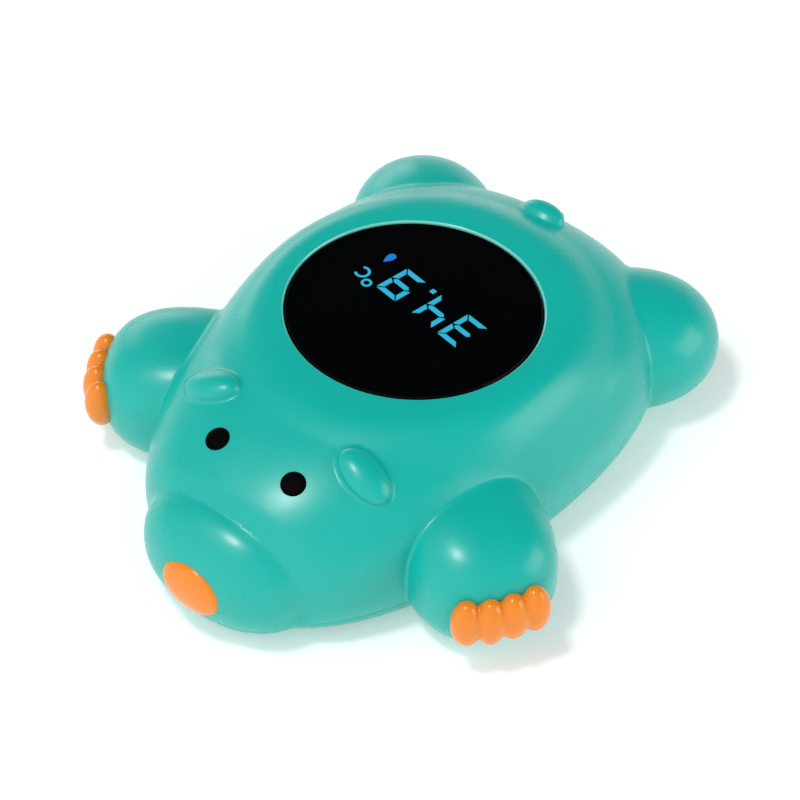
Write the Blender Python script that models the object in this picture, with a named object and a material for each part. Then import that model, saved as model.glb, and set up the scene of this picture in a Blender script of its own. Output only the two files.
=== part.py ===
"""Floating bath thermometer in the shape of a lying bear.

Two moulded shells split on a level plane hold a round tinted window, a digit display on a
round board, two cells behind a screwed cover in the belly, and a steel temperature probe.
Units are metres. The nose points to -Y, the tail to +Y, and the flat belly rests on Z = 0.
"""

import math
from collections import namedtuple

import bmesh
import bpy
from mathutils import Matrix, Vector

# Walls and clearances
WALL = 0.0022
GAP = 0.0003
FLOOR = 0.0024
PARTING_LEVEL = 0.0055
GASKET_HEIGHT = 0.0008
RIB_HEIGHT = 0.0012
LIP_WALL = 0.0012
LIP_HEIGHT = 0.0022

# Body: widest a little above the belly, wider at the rear than at the head
BODY_FRONT = 0.0573
BODY_REAR = 0.0588
BODY_HALF_WIDTH = 0.0398
BODY_RISE = 0.0238
BODY_DROP = 0.0219
BODY_LEVEL = 0.0122
BODY_TAPER = 0.173
BODY_WIDTH_POWER = 2.47
BODY_LENGTH_POWER = 2.34
BODY_HEIGHT_POWER = 2.45

# Muzzle
MUZZLE_Y = -0.0453
MUZZLE_LEVEL = 0.0118
MUZZLE_HALF_WIDTH = 0.0199
MUZZLE_HALF_LENGTH = 0.0154
MUZZLE_HALF_HEIGHT = 0.0145
MUZZLE_PITCH = math.radians(5.3)
MUZZLE_POWER = 2.27

# Front and hind limbs: length runs outwards, and the heading turns it from the X axis
ARM_X = 0.0297
ARM_Y = -0.0161
ARM_LEVEL = 0.0118
ARM_HALF_LENGTH = 0.0241
ARM_HALF_WIDTH = 0.0147
ARM_HALF_HEIGHT = 0.0129
ARM_HEADING = math.radians(-31.7)
ARM_POWER = 2.63
ARM_TAPER = 0.11
LEG_X = 0.0226
LEG_Y = 0.0413
LEG_LEVEL = 0.0125
LEG_HALF_LENGTH = 0.0227
LEG_HALF_WIDTH = 0.0154
LEG_HALF_HEIGHT = 0.0127
LEG_HEADING = math.radians(42.2)
LEG_POWER = 2.06
LEG_TAPER = 0.15

# Ears and tail
EAR_X = 0.0194
EAR_Y = -0.0311
EAR_HALF_LENGTH = 0.0073
EAR_HALF_WIDTH = 0.0042
EAR_HALF_HEIGHT = 0.0029
EAR_HEADING = math.radians(8.0)
EAR_PITCH = math.radians(18.0)
TAIL_Y = 0.0495
TAIL_LEVEL = 0.0276
TAIL_HALF_LENGTH = 0.0050
TAIL_HALF_WIDTH = 0.0041
TAIL_HALF_HEIGHT = 0.0027

# Eyes, nose and toes
EYE_X = 0.0092
EYE_Y = -0.0405
EYE_RADIUS = 0.00245
EYE_DEPTH = 0.0014
EYE_DOME = 0.0004
NOSE_HALF_WIDTH = 0.0068
NOSE_HALF_HEIGHT = 0.0057
NOSE_LEVEL = 0.0121
NOSE_DOME = 0.0011
TRIM_DEPTH = 0.0011
TRIM_PROUD = 0.0003
TOE_COUNT = 4
TOE_RADIUS = 0.0031
TOE_HALF_HEIGHT = 0.0055
TOE_SPREAD = math.radians(31.0)
TOE_HEADING = math.radians(-34.5)
TOE_STANDOFF = 0.0006

# Window and what lies under it, measured along the window's own axis
WINDOW_RADIUS = 0.0250
WINDOW_Y = 0.0073
WINDOW_LEVEL = 0.0339
WINDOW_TILT = math.radians(-2.1)
WINDOW_RECESS = 0.0005
WINDOW_THICKNESS = 0.0016
SEAL_THICKNESS = 0.0006
LEDGE_WIDTH = 0.0030
LEDGE_THICKNESS = 0.0015
RING_WALL = 0.0020

# Display, board and chip
DISPLAY_LENGTH = 0.0340
DISPLAY_WIDTH = 0.0150
DISPLAY_THICKNESS = 0.0050
DIGIT_HEIGHT = 0.0080
DIGIT_PITCH = 0.0078
DIGIT_SLANT = math.radians(8.0)
SEGMENT_WIDTH = 0.0010
SEGMENT_PROUD = 0.0002
BOARD_MARGIN = 0.0015
BOARD_THICKNESS = 0.0012
BOARD_SCREW_COUNT = 3
CHIP_SIZE = 0.0070
CHIP_THICKNESS = 0.0010
CHIP_LEADS = 6

# Battery bay in the belly
CELL_RADIUS = 0.00525
CELL_LENGTH = 0.0445
CELL_CAP_RADIUS = 0.0019
CELL_CAP_LENGTH = 0.0010
CELL_SPACING = 0.0012
SPRING_LENGTH = 0.0042
SPRING_RADIUS = 0.0032
SPRING_WIRE = 0.0003
SPRING_TURNS = 3.0
CONTACT_THICKNESS = 0.0004
CONTACT_WIDTH = 0.0080
CONTACT_HEIGHT = 0.0085
BAY_WALL = 0.0014
BAY_Y = 0.0070
BAY_LEDGE = 0.0022
COVER_THICKNESS = 0.0018
COVER_RECESS = 0.0002
COVER_TONGUE = 0.0062
COVER_CORNER = 0.0040
COVER_RIB_WIDTH = 0.0012
COVER_GASKET_HEIGHT = 0.0008
COVER_GASKET_WIDTH = 0.0012

# Posts and screws
POST_RADIUS = 0.0040
POST_FRONT_X = 0.0190
POST_FRONT_Y = -0.0300
POST_REAR_X = 0.0195
POST_REAR_Y = 0.0425
POST_JOINT_LEVEL = 0.0086
POST_SINK = 0.0011
SCREW_SHANK_RADIUS = 0.0011
SCREW_HEAD_RADIUS = 0.0025
SCREW_HEAD_HEIGHT = 0.0018
SCREW_LENGTH = 0.0100
SCREW_SEAT = 0.0036
SMALL_SHANK_RADIUS = 0.0008
SMALL_HEAD_RADIUS = 0.0017
SMALL_HEAD_HEIGHT = 0.0012
SMALL_SCREW_LENGTH = 0.0042

# Temperature probe and water contacts in the belly
PROBE_Y = -0.0360
PROBE_RADIUS = 0.0034
PROBE_WALL = 0.0005
PROBE_TIP_LEVEL = 0.0007
PROBE_FLANGE = 0.0016
PROBE_FLANGE_THICKNESS = 0.0007
PROBE_BOSS = 0.0036
PROBE_DISH_RADIUS = 0.0068
PROBE_DISH_DEPTH = 0.0008
SEAL_CORD_RADIUS = 0.0005
BEAD_RADIUS = 0.0016
BEAD_LENGTH = 0.0034
CONTACT_PIN_X = 0.0120
CONTACT_PIN_Y = -0.0380
CONTACT_PIN_RADIUS = 0.0009
CONTACT_PIN_HEAD = 0.0020
CONTACT_PIN_HEAD_HEIGHT = 0.0008
CONTACT_PIN_LENGTH = 0.0062

# Facets round each kind of piece
BODY_FACETS = (32, 16)
LIMB_FACETS = (18, 10)
SMALL_FACETS = (12, 8)
BOSS_FACETS = 20
POST_FACETS = 24
DISH_FACETS = 32
INSIDE_SHARE = 0.6
ROUND_FACETS = 36
PIN_FACETS = 12
SMOOTH_ANGLE = math.radians(32.0)
WELD_DISTANCE = 0.000003
FLAT_ANGLE = math.radians(0.6)

# Colours
TEAL = (0.013, 0.440, 0.375)
ORANGE = (0.870, 0.265, 0.055)
BLACK = (0.004, 0.004, 0.005)
SMOKED = (0.006, 0.007, 0.009)
GREY_RUBBER = (0.120, 0.125, 0.130)
BOARD_GREEN = (0.015, 0.150, 0.060)
STEEL = (0.620, 0.620, 0.610)
CELL_BLUE = (0.030, 0.080, 0.260)

Lobe = namedtuple(
    "Lobe",
    "centre front rear half_width up down heading pitch powers taper_width taper_height facets crowned",
)

WINDOW_FRAME = Matrix.Translation((0.0, WINDOW_Y, WINDOW_LEVEL)) @ Matrix.Rotation(WINDOW_TILT, 4, "X")
POCKET_RADIUS = WINDOW_RADIUS + GAP
CROWN_INNER = POCKET_RADIUS + RING_WALL
CROWN_OUTER = BODY_HALF_WIDTH


# The window's plane, and the body's own height under it

def window_plane(x, y):
    return WINDOW_LEVEL + (y - WINDOW_Y) * math.tan(WINDOW_TILT)


def body_width_at(y):
    reach = BODY_REAR if y > 0.0 else BODY_FRONT
    return BODY_HALF_WIDTH * (1.0 + BODY_TAPER * max(-1.0, min(1.0, y / reach)))


def body_top(x, y):
    reach = BODY_REAR if y > 0.0 else BODY_FRONT
    across = abs(x / body_width_at(y)) ** BODY_WIDTH_POWER
    along = abs(y / reach) ** BODY_LENGTH_POWER
    left = max(0.0, 1.0 - across - along)
    return BODY_LEVEL + BODY_RISE * left ** (1.0 / BODY_HEIGHT_POWER)


def crown_lift(point):
    """How far the crown rises or falls so that it meets the window's plane round the rim."""
    reach = math.hypot(point.x, point.y - WINDOW_Y)
    share = max(0.0, min(1.0, (CROWN_OUTER - reach) / (CROWN_OUTER - CROWN_INNER)))
    blend = share * share * (3.0 - 2.0 * share)
    fade = max(0.0, min(1.0, (point.z - BODY_LEVEL) / (0.6 * BODY_RISE)))
    return blend * fade * (window_plane(point.x, point.y) - body_top(point.x, point.y))


# Lobes: the rounded forms that the shells are blended from

BODY = Lobe(
    Vector((0.0, 0.0, BODY_LEVEL)), BODY_FRONT, BODY_REAR, BODY_HALF_WIDTH, BODY_RISE, BODY_DROP,
    math.radians(90.0), 0.0, (BODY_LENGTH_POWER, BODY_WIDTH_POWER, BODY_HEIGHT_POWER),
    BODY_TAPER, 0.0, BODY_FACETS, True,
)
MUZZLE = Lobe(
    Vector((0.0, MUZZLE_Y, MUZZLE_LEVEL)), MUZZLE_HALF_LENGTH, MUZZLE_HALF_LENGTH, MUZZLE_HALF_WIDTH,
    MUZZLE_HALF_HEIGHT, MUZZLE_HALF_HEIGHT, math.radians(90.0), MUZZLE_PITCH,
    (MUZZLE_POWER, MUZZLE_POWER, MUZZLE_POWER), 0.0, 0.0, LIMB_FACETS, False,
)


def arm_lobe(side):
    heading = ARM_HEADING if side > 0 else math.pi - ARM_HEADING
    return Lobe(
        Vector((side * ARM_X, ARM_Y, ARM_LEVEL)), ARM_HALF_LENGTH, ARM_HALF_LENGTH, ARM_HALF_WIDTH,
        ARM_HALF_HEIGHT, ARM_HALF_HEIGHT, heading, 0.0, (ARM_POWER, ARM_POWER, ARM_POWER),
        ARM_TAPER, ARM_TAPER, LIMB_FACETS, False,
    )


def leg_lobe(side):
    heading = LEG_HEADING if side > 0 else math.pi - LEG_HEADING
    return Lobe(
        Vector((side * LEG_X, LEG_Y, LEG_LEVEL)), LEG_HALF_LENGTH, LEG_HALF_LENGTH, LEG_HALF_WIDTH,
        LEG_HALF_HEIGHT, LEG_HALF_HEIGHT, heading, 0.0, (LEG_POWER, LEG_POWER, LEG_POWER),
        LEG_TAPER, LEG_TAPER, LIMB_FACETS, False,
    )


def ear_lobe(side):
    heading = -EAR_HEADING if side > 0 else math.pi + EAR_HEADING
    centre = Vector((side * EAR_X, EAR_Y, body_top(EAR_X, EAR_Y)))
    return Lobe(
        centre, EAR_HALF_LENGTH, EAR_HALF_LENGTH, EAR_HALF_WIDTH, EAR_HALF_HEIGHT, EAR_HALF_HEIGHT,
        heading, EAR_PITCH, (2.0, 2.0, 2.0), 0.0, 0.0, SMALL_FACETS, False,
    )


TAIL = Lobe(
    Vector((0.0, TAIL_Y, TAIL_LEVEL)), TAIL_HALF_LENGTH, TAIL_HALF_LENGTH, TAIL_HALF_WIDTH,
    TAIL_HALF_HEIGHT, TAIL_HALF_HEIGHT, math.radians(90.0), 0.0, (2.0, 2.0, 2.0), 0.0, 0.0,
    SMALL_FACETS, False,
)
LIMBS = [arm_lobe(1), arm_lobe(-1), leg_lobe(1), leg_lobe(-1)]
FORM = [BODY, MUZZLE] + LIMBS


def lobe_matrix(lobe):
    turn = Matrix.Rotation(lobe.heading, 4, "Z") @ Matrix.Rotation(lobe.pitch, 4, "Y")
    return Matrix.Translation(lobe.centre) @ turn


def lobe_point(lobe, direction, inset):
    """The surface point of a lobe along a direction of its own frame, X running along it."""
    power_x, power_y, power_z = lobe.powers
    length = (lobe.rear if direction.x > 0.0 else lobe.front) - inset
    height = (lobe.up if direction.z > 0.0 else lobe.down) - inset
    width = lobe.half_width - inset
    reach = 1.0
    for _ in range(12):
        shift = max(-1.0, min(1.0, reach * direction.x))
        across = abs(direction.y / (1.0 + lobe.taper_width * shift))
        above = abs(direction.z / (1.0 + lobe.taper_height * shift))
        total = (reach * abs(direction.x)) ** power_x + (reach * across) ** power_y
        total += (reach * above) ** power_z
        reach /= total ** (1.0 / 2.4)
    point = Vector((length * direction.x, width * direction.y, height * direction.z)) * reach
    return lobe_matrix(lobe) @ point


# Objects and materials

def material(name, colour, roughness, metallic=0.0):
    made = bpy.data.materials.get(name) or bpy.data.materials.new(name)
    made.use_nodes = True
    made.diffuse_color = (*colour, 1.0)
    shader = made.node_tree.nodes["Principled BSDF"]
    shader.inputs["Base Color"].default_value = (*colour, 1.0)
    shader.inputs["Roughness"].default_value = roughness
    shader.inputs["Metallic"].default_value = metallic
    return made


def add_object(name, work):
    """Puts a bmesh into the scene as an object with its faces turned outwards."""
    bmesh.ops.recalc_face_normals(work, faces=work.faces)
    mesh = bpy.data.meshes.new(name)
    work.to_mesh(mesh)
    work.free()
    made = bpy.data.objects.new(name, mesh)
    bpy.context.scene.collection.objects.link(made)
    return made


def merge_flat_facets(made):
    """Joins neighbouring facets that lie in one plane, which the cuts leave in slivers."""
    work = bmesh.new()
    work.from_mesh(made.data)
    bmesh.ops.dissolve_limit(work, angle_limit=FLAT_ANGLE, verts=work.verts, edges=work.edges)
    work.to_mesh(made.data)
    work.free()
    weld(made.data)


def island_of(seed):
    """All the points that hang together with one point."""
    found = {seed}
    edge = [seed]
    while edge:
        here = edge.pop()
        for link in here.link_edges:
            other = link.other_vert(here)
            if other not in found:
                found.add(other)
                edge.append(other)
    return found


def drop_slivers(made):
    """Keeps the one moulding, without the crumbs that crossing cuts leave beside it."""
    work = bmesh.new()
    work.from_mesh(made.data)
    left = set(work.verts)
    islands = []
    while left:
        islands.append(island_of(next(iter(left))))
        left -= islands[-1]
    islands.sort(key=len)
    for crumbs in islands[:-1]:
        bmesh.ops.delete(work, geom=list(crumbs), context="VERTS")
    work.to_mesh(made.data)
    work.free()


def finish(made, surface):
    """Gives a finished piece its material and its smooth shading."""
    if made.type == "MESH":
        merge_flat_facets(made)
    made.data.materials.clear()
    made.data.materials.append(surface)
    made.data.shade_smooth()
    made.data.set_sharp_from_angle(angle=SMOOTH_ANGLE)
    return made


def weld(mesh):
    """Closes the hairline slits between facets that meet in one point."""
    work = bmesh.new()
    work.from_mesh(mesh)
    bmesh.ops.remove_doubles(work, verts=work.verts, dist=WELD_DISTANCE)
    bmesh.ops.dissolve_degenerate(work, edges=work.edges, dist=WELD_DISTANCE)
    bmesh.ops.triangulate(work, faces=work.faces)
    work.to_mesh(mesh)
    work.free()


def combine(target, tools, operation):
    """Joins, cuts or intersects an object with others, which are used up."""
    for tool in tools:
        tool.hide_render = True
        tool.display_type = "WIRE"
        modifier = target.modifiers.new(operation, "BOOLEAN")
        modifier.operation = operation
        modifier.solver = "EXACT"
        modifier.object = tool
        bpy.context.view_layer.update()
        graph = bpy.context.evaluated_depsgraph_get()
        result = bpy.data.meshes.new_from_object(target.evaluated_get(graph))
        target.modifiers.clear()
        weld(result)
        spent = target.data
        target.data = result
        bpy.data.meshes.remove(spent)
        result.name = target.name
        bpy.data.objects.remove(tool)
    return target


def join(target, *tools):
    return combine(target, tools, "UNION")


def cut(target, *tools):
    return combine(target, tools, "DIFFERENCE")


def keep(target, *tools):
    return combine(target, tools, "INTERSECT")


# Basic solids

def add_lobe(name, lobe, inset=0.0, share=1.0):
    """A lobe sunk by an inset. A share under 1 gives it that much fewer facets each way."""
    around = 2 * round(0.5 * share * lobe.facets[0])
    rings = round(share * lobe.facets[1])
    work = bmesh.new()
    bmesh.ops.create_uvsphere(work, u_segments=around, v_segments=rings, radius=1.0)
    for vertex in work.verts:
        vertex.co = lobe_point(lobe, vertex.co.normalized(), inset)
        if lobe.crowned:
            vertex.co.z += crown_lift(vertex.co)
    return add_object(name, work)


def add_box(name, low, high, frame=None):
    work = bmesh.new()
    bmesh.ops.create_cube(work, size=1.0)
    for vertex in work.verts:
        vertex.co = Vector(
            (low[i] if vertex.co[i] < 0.0 else high[i]) for i in range(3)
        )
    if frame is not None:
        work.transform(frame)
    return add_object(name, work)


def add_prism(name, outline, bottom, top, frame=None):
    """A straight prism over a closed outline of (x, y) points."""
    work = bmesh.new()
    low = [work.verts.new((x, y, bottom)) for x, y in outline]
    high = [work.verts.new((x, y, top)) for x, y in outline]
    work.faces.new(list(reversed(low)))
    work.faces.new(high)
    for here in range(len(outline)):
        after = (here + 1) % len(outline)
        work.faces.new((low[here], low[after], high[after], high[here]))
    if frame is not None:
        work.transform(frame)
    return add_object(name, work)


def round_outline(half_x, half_y, corner, centre=(0.0, 0.0), steps=5):
    """A rectangle with round corners."""
    points = []
    for quarter, (side_x, side_y) in enumerate(((1, 1), (-1, 1), (-1, -1), (1, -1))):
        for step in range(steps + 1):
            angle = math.radians(90.0) * (quarter + step / steps)
            x = centre[0] + side_x * (half_x - corner) + corner * math.cos(angle)
            y = centre[1] + side_y * (half_y - corner) + corner * math.sin(angle)
            points.append((x, y))
    return points


def add_turned(name, profile, closed=False, facets=ROUND_FACETS, frame=None):
    """Turns (radius, height) points about Z. A closed profile makes a ring, an open one a solid."""
    work = bmesh.new()
    rows = []
    for radius, height in profile:
        count = 1 if radius == 0.0 else facets
        angles = [2.0 * math.pi * step / facets for step in range(count)]
        rows.append([
            work.verts.new((radius * math.cos(angle), radius * math.sin(angle), height))
            for angle in angles
        ])
    pairs = list(zip(rows, rows[1:]))
    if closed:
        pairs.append((rows[-1], rows[0]))
    for low, high in pairs:
        for step in range(facets):
            after = (step + 1) % facets
            corners = [low[step % len(low)], low[after % len(low)]]
            corners += [high[after % len(high)], high[step % len(high)]]
            corners = list(dict.fromkeys(corners))
            if len(corners) > 2:
                work.faces.new(corners)
    if frame is not None:
        work.transform(frame)
    return add_object(name, work)


def add_cylinder(name, radius, bottom, top, facets=ROUND_FACETS, frame=None):
    profile = [(0.0, bottom), (radius, bottom), (radius, top), (0.0, top)]
    return add_turned(name, profile, facets=facets, frame=frame)


def at(x, y, z=0.0):
    return Matrix.Translation((x, y, z))


def add_screw(name, shank, head, head_height, length, frame):
    """A pan-head screw, its seat at height 0 and its point up."""
    profile = [
        (0.0, -head_height),
        (head * 0.72, -head_height),
        (head, -head_height * 0.55),
        (head, 0.0),
        (shank, 0.0),
        (shank, length - shank),
        (0.0, length),
    ]
    return add_turned(name, profile, facets=PIN_FACETS, frame=frame)


# The bear's outer form, and the same form sunk by an even depth

def bear_form(name, inset=0.0, share=1.0):
    made = add_lobe(name, FORM[0], inset, share)
    return join(made, *[add_lobe(name + "_lobe", lobe, inset, share) for lobe in FORM[1:]])


def slab(bottom, top):
    reach = 3.0 * BODY_REAR
    return add_box("slab", (-reach, -reach, bottom), (reach, reach, top))


def bear_slice(name, inset, bottom, top, share=1.0):
    return keep(bear_form(name, inset, share), slab(bottom, top))


# The lip that the lower shell pushes into the upper one, with the gasket between lip and rib

LIP_INSET = WALL + GAP
LIP_TOP = PARTING_LEVEL + LIP_HEIGHT
RIB_BOTTOM = LIP_TOP + GASKET_HEIGHT + 2.0 * GAP

# Levels of the stack below the window, along its axis

WINDOW_TOP = -WINDOW_RECESS
WINDOW_BOTTOM = WINDOW_TOP - WINDOW_THICKNESS
SEAL_TOP = WINDOW_BOTTOM - GAP
SEAL_BOTTOM = SEAL_TOP - SEAL_THICKNESS
LEDGE_TOP = SEAL_BOTTOM - GAP
LEDGE_BOTTOM = LEDGE_TOP - LEDGE_THICKNESS
LEDGE_RADIUS = POCKET_RADIUS - LEDGE_WIDTH
DISPLAY_TOP = WINDOW_BOTTOM - GAP - SEGMENT_PROUD
DISPLAY_BOTTOM = DISPLAY_TOP - DISPLAY_THICKNESS
BOARD_TOP = DISPLAY_BOTTOM - GAP
BOARD_BOTTOM = BOARD_TOP - BOARD_THICKNESS
BOSS_BOTTOM = BOARD_TOP + GAP
BOSS_RADIUS = 2.0 * SMALL_SHANK_RADIUS + GAP
BOARD_SCREW_CIRCLE = 0.5 * (LEDGE_RADIUS + CROWN_INNER)
BOARD_RADIUS = POCKET_RADIUS + BOARD_MARGIN

# Levels and sizes of the battery bay, from the belly up

COVER_BOTTOM = COVER_RECESS
COVER_TOP = COVER_BOTTOM + COVER_THICKNESS
COVER_GASKET_BOTTOM = COVER_TOP + GAP
COVER_GASKET_TOP = COVER_GASKET_BOTTOM + COVER_GASKET_HEIGHT
BAY_BOTTOM = COVER_GASKET_TOP + GAP
PAD_TOP = BAY_BOTTOM + BAY_LEDGE
CELL_LEVEL = BAY_BOTTOM + GAP + CELL_RADIUS
BAY_TOP = CELL_LEVEL + CELL_RADIUS + GAP
BAY_HALF_WIDTH = 2.0 * CELL_RADIUS + 0.5 * CELL_SPACING + GAP
BAY_HALF_LENGTH = 0.5 * (CELL_LENGTH + CELL_CAP_LENGTH + SPRING_LENGTH) + CONTACT_THICKNESS + 2.0 * GAP
GASKET_HALF_WIDTH = BAY_HALF_WIDTH + GAP + COVER_GASKET_WIDTH
GASKET_HALF_LENGTH = BAY_HALF_LENGTH + GAP + COVER_GASKET_WIDTH
COVER_HALF_WIDTH = GASKET_HALF_WIDTH + GAP
COVER_HALF_LENGTH = GASKET_HALF_LENGTH + COVER_TONGUE
COVER_SCREW_REACH = GASKET_HALF_LENGTH + 0.5 * COVER_TONGUE
CELL_X = CELL_RADIUS + 0.5 * CELL_SPACING

# Levels of the probe

PROBE_BOSS_TOP = PROBE_BOSS
PIN_BOSS_TOP = 1.6 * FLOOR
PROBE_SEAL_LEVEL = PROBE_BOSS_TOP + GAP + SEAL_CORD_RADIUS
PROBE_FLANGE_BOTTOM = PROBE_SEAL_LEVEL + SEAL_CORD_RADIUS + GAP
PROBE_FLANGE_RADIUS = PROBE_RADIUS + PROBE_FLANGE

POSTS = [
    (side * x, y)
    for x, y in ((POST_FRONT_X, POST_FRONT_Y), (POST_REAR_X, POST_REAR_Y))
    for side in (1, -1)
]


def board_screw_places():
    for count in range(BOARD_SCREW_COUNT):
        angle = math.radians(90.0) + 2.0 * math.pi * count / BOARD_SCREW_COUNT
        yield BOARD_SCREW_CIRCLE * math.cos(angle), BOARD_SCREW_CIRCLE * math.sin(angle)


# Eyes, nose and toes: inserts let into the outer wall, the toes just above the parting plane

TOE_BOTTOM = PARTING_LEVEL + 4.0 * GAP


def surface_normal(x, y):
    step = 0.0005
    slope_x = (body_top(x + step, y) - body_top(x - step, y)) / (2.0 * step)
    slope_y = (body_top(x, y + step) - body_top(x, y - step)) / (2.0 * step)
    return Vector((-slope_x, -slope_y, 1.0)).normalized()


def eye_frame(side):
    centre = Vector((side * EYE_X, EYE_Y, body_top(EYE_X, EYE_Y)))
    turn = surface_normal(side * EYE_X, EYE_Y).to_track_quat("Z", "Y").to_matrix().to_4x4()
    return Matrix.Translation(centre) @ turn


def eye_solid(name, side, extra=0.0):
    profile = [
        (0.0, -EYE_DEPTH - extra),
        (EYE_RADIUS + extra, -EYE_DEPTH - extra),
        (EYE_RADIUS + extra, extra),
        (0.72 * EYE_RADIUS, EYE_DOME * 0.75 + extra),
        (0.0, EYE_DOME + extra),
    ]
    return add_turned(name, profile, facets=POST_FACETS, frame=eye_frame(side))


def nose_block(name, extra=0.0):
    """An oval bar along Y, which marks the nose out on the front of the muzzle."""
    work = bmesh.new()
    front = MUZZLE_Y - 1.6 * MUZZLE_HALF_LENGTH
    back = MUZZLE_Y - 0.2 * MUZZLE_HALF_LENGTH
    rows = []
    for y in (front, back):
        rows.append([
            work.verts.new((
                (NOSE_HALF_WIDTH + extra) * math.cos(2.0 * math.pi * step / 28),
                y,
                NOSE_LEVEL + (NOSE_HALF_HEIGHT + extra) * math.sin(2.0 * math.pi * step / 28),
            ))
            for step in range(28)
        ])
    work.faces.new(rows[0])
    work.faces.new(list(reversed(rows[1])))
    for step in range(28):
        after = (step + 1) % 28
        work.faces.new((rows[0][after], rows[0][step], rows[1][step], rows[1][after]))
    return add_object(name, work)


def toe_lobes(side, extra=0.0):
    """Upright pads side by side round the outer end of an arm."""
    arm = arm_lobe(side)
    for count in range(TOE_COUNT):
        share = count / (TOE_COUNT - 1) - 0.5
        heading = TOE_HEADING + share * TOE_SPREAD
        heading = heading if side > 0 else math.pi - heading
        outward = Vector((math.cos(heading), math.sin(heading), 0.0))
        local = Matrix.Rotation(-arm.heading, 3, "Z") @ outward
        surface = lobe_point(arm, local.normalized(), 0.0)
        centre = surface + outward * TOE_STANDOFF
        centre.z = TOE_BOTTOM + TOE_HALF_HEIGHT
        yield Lobe(
            centre, TOE_RADIUS + extra, TOE_RADIUS + extra, TOE_RADIUS + extra,
            TOE_HALF_HEIGHT + extra, TOE_HALF_HEIGHT + extra, heading, 0.0, (2.0, 2.0, 2.0),
            0.0, 0.0, SMALL_FACETS, False,
        )


def toe_form(name, side, extra=0.0):
    lobes = list(toe_lobes(side, extra))
    made = add_lobe(name, lobes[0])
    join(made, *[add_lobe(name + "_pad", lobe) for lobe in lobes[1:]])
    return cut(made, add_lobe(name + "_inside", arm_lobe(side), TRIM_DEPTH + extra))


def nose_form(name, extra=0.0, proud=0.0):
    made = keep(nose_block(name, extra), add_lobe(name + "_skin", MUZZLE, -proud))
    return cut(made, add_lobe(name + "_inside", MUZZLE, TRIM_DEPTH + extra))


def nose_dome():
    """The rounded front of the nose, which stands out from the middle of its pad."""
    front = MUZZLE_Y - MUZZLE_HALF_LENGTH
    return Lobe(
        Vector((0.0, front + TRIM_DEPTH, NOSE_LEVEL)), TRIM_DEPTH + NOSE_DOME, TRIM_DEPTH + NOSE_DOME,
        NOSE_HALF_WIDTH - GAP, NOSE_HALF_HEIGHT - GAP, NOSE_HALF_HEIGHT - GAP, math.radians(90.0), 0.0,
        (2.4, 2.4, 2.4), 0.0, 0.0, SMALL_FACETS, False,
    )


# The shells

def make_upper_shell():
    shell = bear_form("upper_shell")
    join(shell, add_lobe("ear", ear_lobe(1)), add_lobe("ear", ear_lobe(-1)), add_lobe("tail", TAIL))
    cut(shell, bear_form("cavity", WALL))
    inside = LEDGE_RADIUS - GAP
    ring = [
        (inside, LEDGE_BOTTOM),
        (CROWN_INNER, LEDGE_BOTTOM),
        (CROWN_INNER, -2.0 * GAP),
        (inside, -2.0 * GAP),
    ]
    join(shell, add_turned("window_ring", ring, closed=True, frame=WINDOW_FRAME))
    for x, y in board_screw_places():
        frame = WINDOW_FRAME @ at(x, y)
        top = LEDGE_BOTTOM + 2.0 * GAP
        join(shell, add_cylinder("board_boss", BOSS_RADIUS, BOSS_BOTTOM, top, BOSS_FACETS, frame))
    for x, y in POSTS:
        post = add_cylinder("post", POST_RADIUS, POST_JOINT_LEVEL, 2.0 * WINDOW_LEVEL, POST_FACETS, at(x, y))
        join(shell, keep(post, bear_form("post_limit", POST_SINK, INSIDE_SHARE)))
    rib = bear_slice("rib", WALL - GAP, RIB_BOTTOM, RIB_BOTTOM + RIB_HEIGHT)
    join(shell, cut(rib, bear_form("rib_inside", LIP_INSET + LIP_WALL)))
    cut(shell, slab(-BODY_RISE, PARTING_LEVEL + GAP))
    for x, y in POSTS:
        pilot = SCREW_SHANK_RADIUS + GAP
        cut(shell, add_cylinder("pilot", pilot, 0.0, SCREW_SEAT + SCREW_LENGTH + GAP, PIN_FACETS, at(x, y)))
    pocket = add_cylinder("pocket", POCKET_RADIUS, LEDGE_TOP, WINDOW_RADIUS, frame=WINDOW_FRAME)
    opening = add_cylinder("opening", LEDGE_RADIUS, LEDGE_BOTTOM - WALL, WINDOW_RADIUS, frame=WINDOW_FRAME)
    cut(shell, pocket, opening)
    for x, y in board_screw_places():
        frame = WINDOW_FRAME @ at(x, y)
        top = LEDGE_TOP - 2.0 * GAP
        pilot = SMALL_SHANK_RADIUS + GAP
        cut(shell, add_cylinder("board_pilot", pilot, BOARD_BOTTOM, top, PIN_FACETS, frame))
    for side in (1, -1):
        cut(shell, eye_solid("eye_seat", side, 0.5 * GAP), toe_form("toe_seat", side, GAP))
    cut(shell, nose_form("nose_seat", GAP, WALL))
    drop_slivers(shell)
    return finish(shell, material("teal_plastic", TEAL, 0.34))


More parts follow.
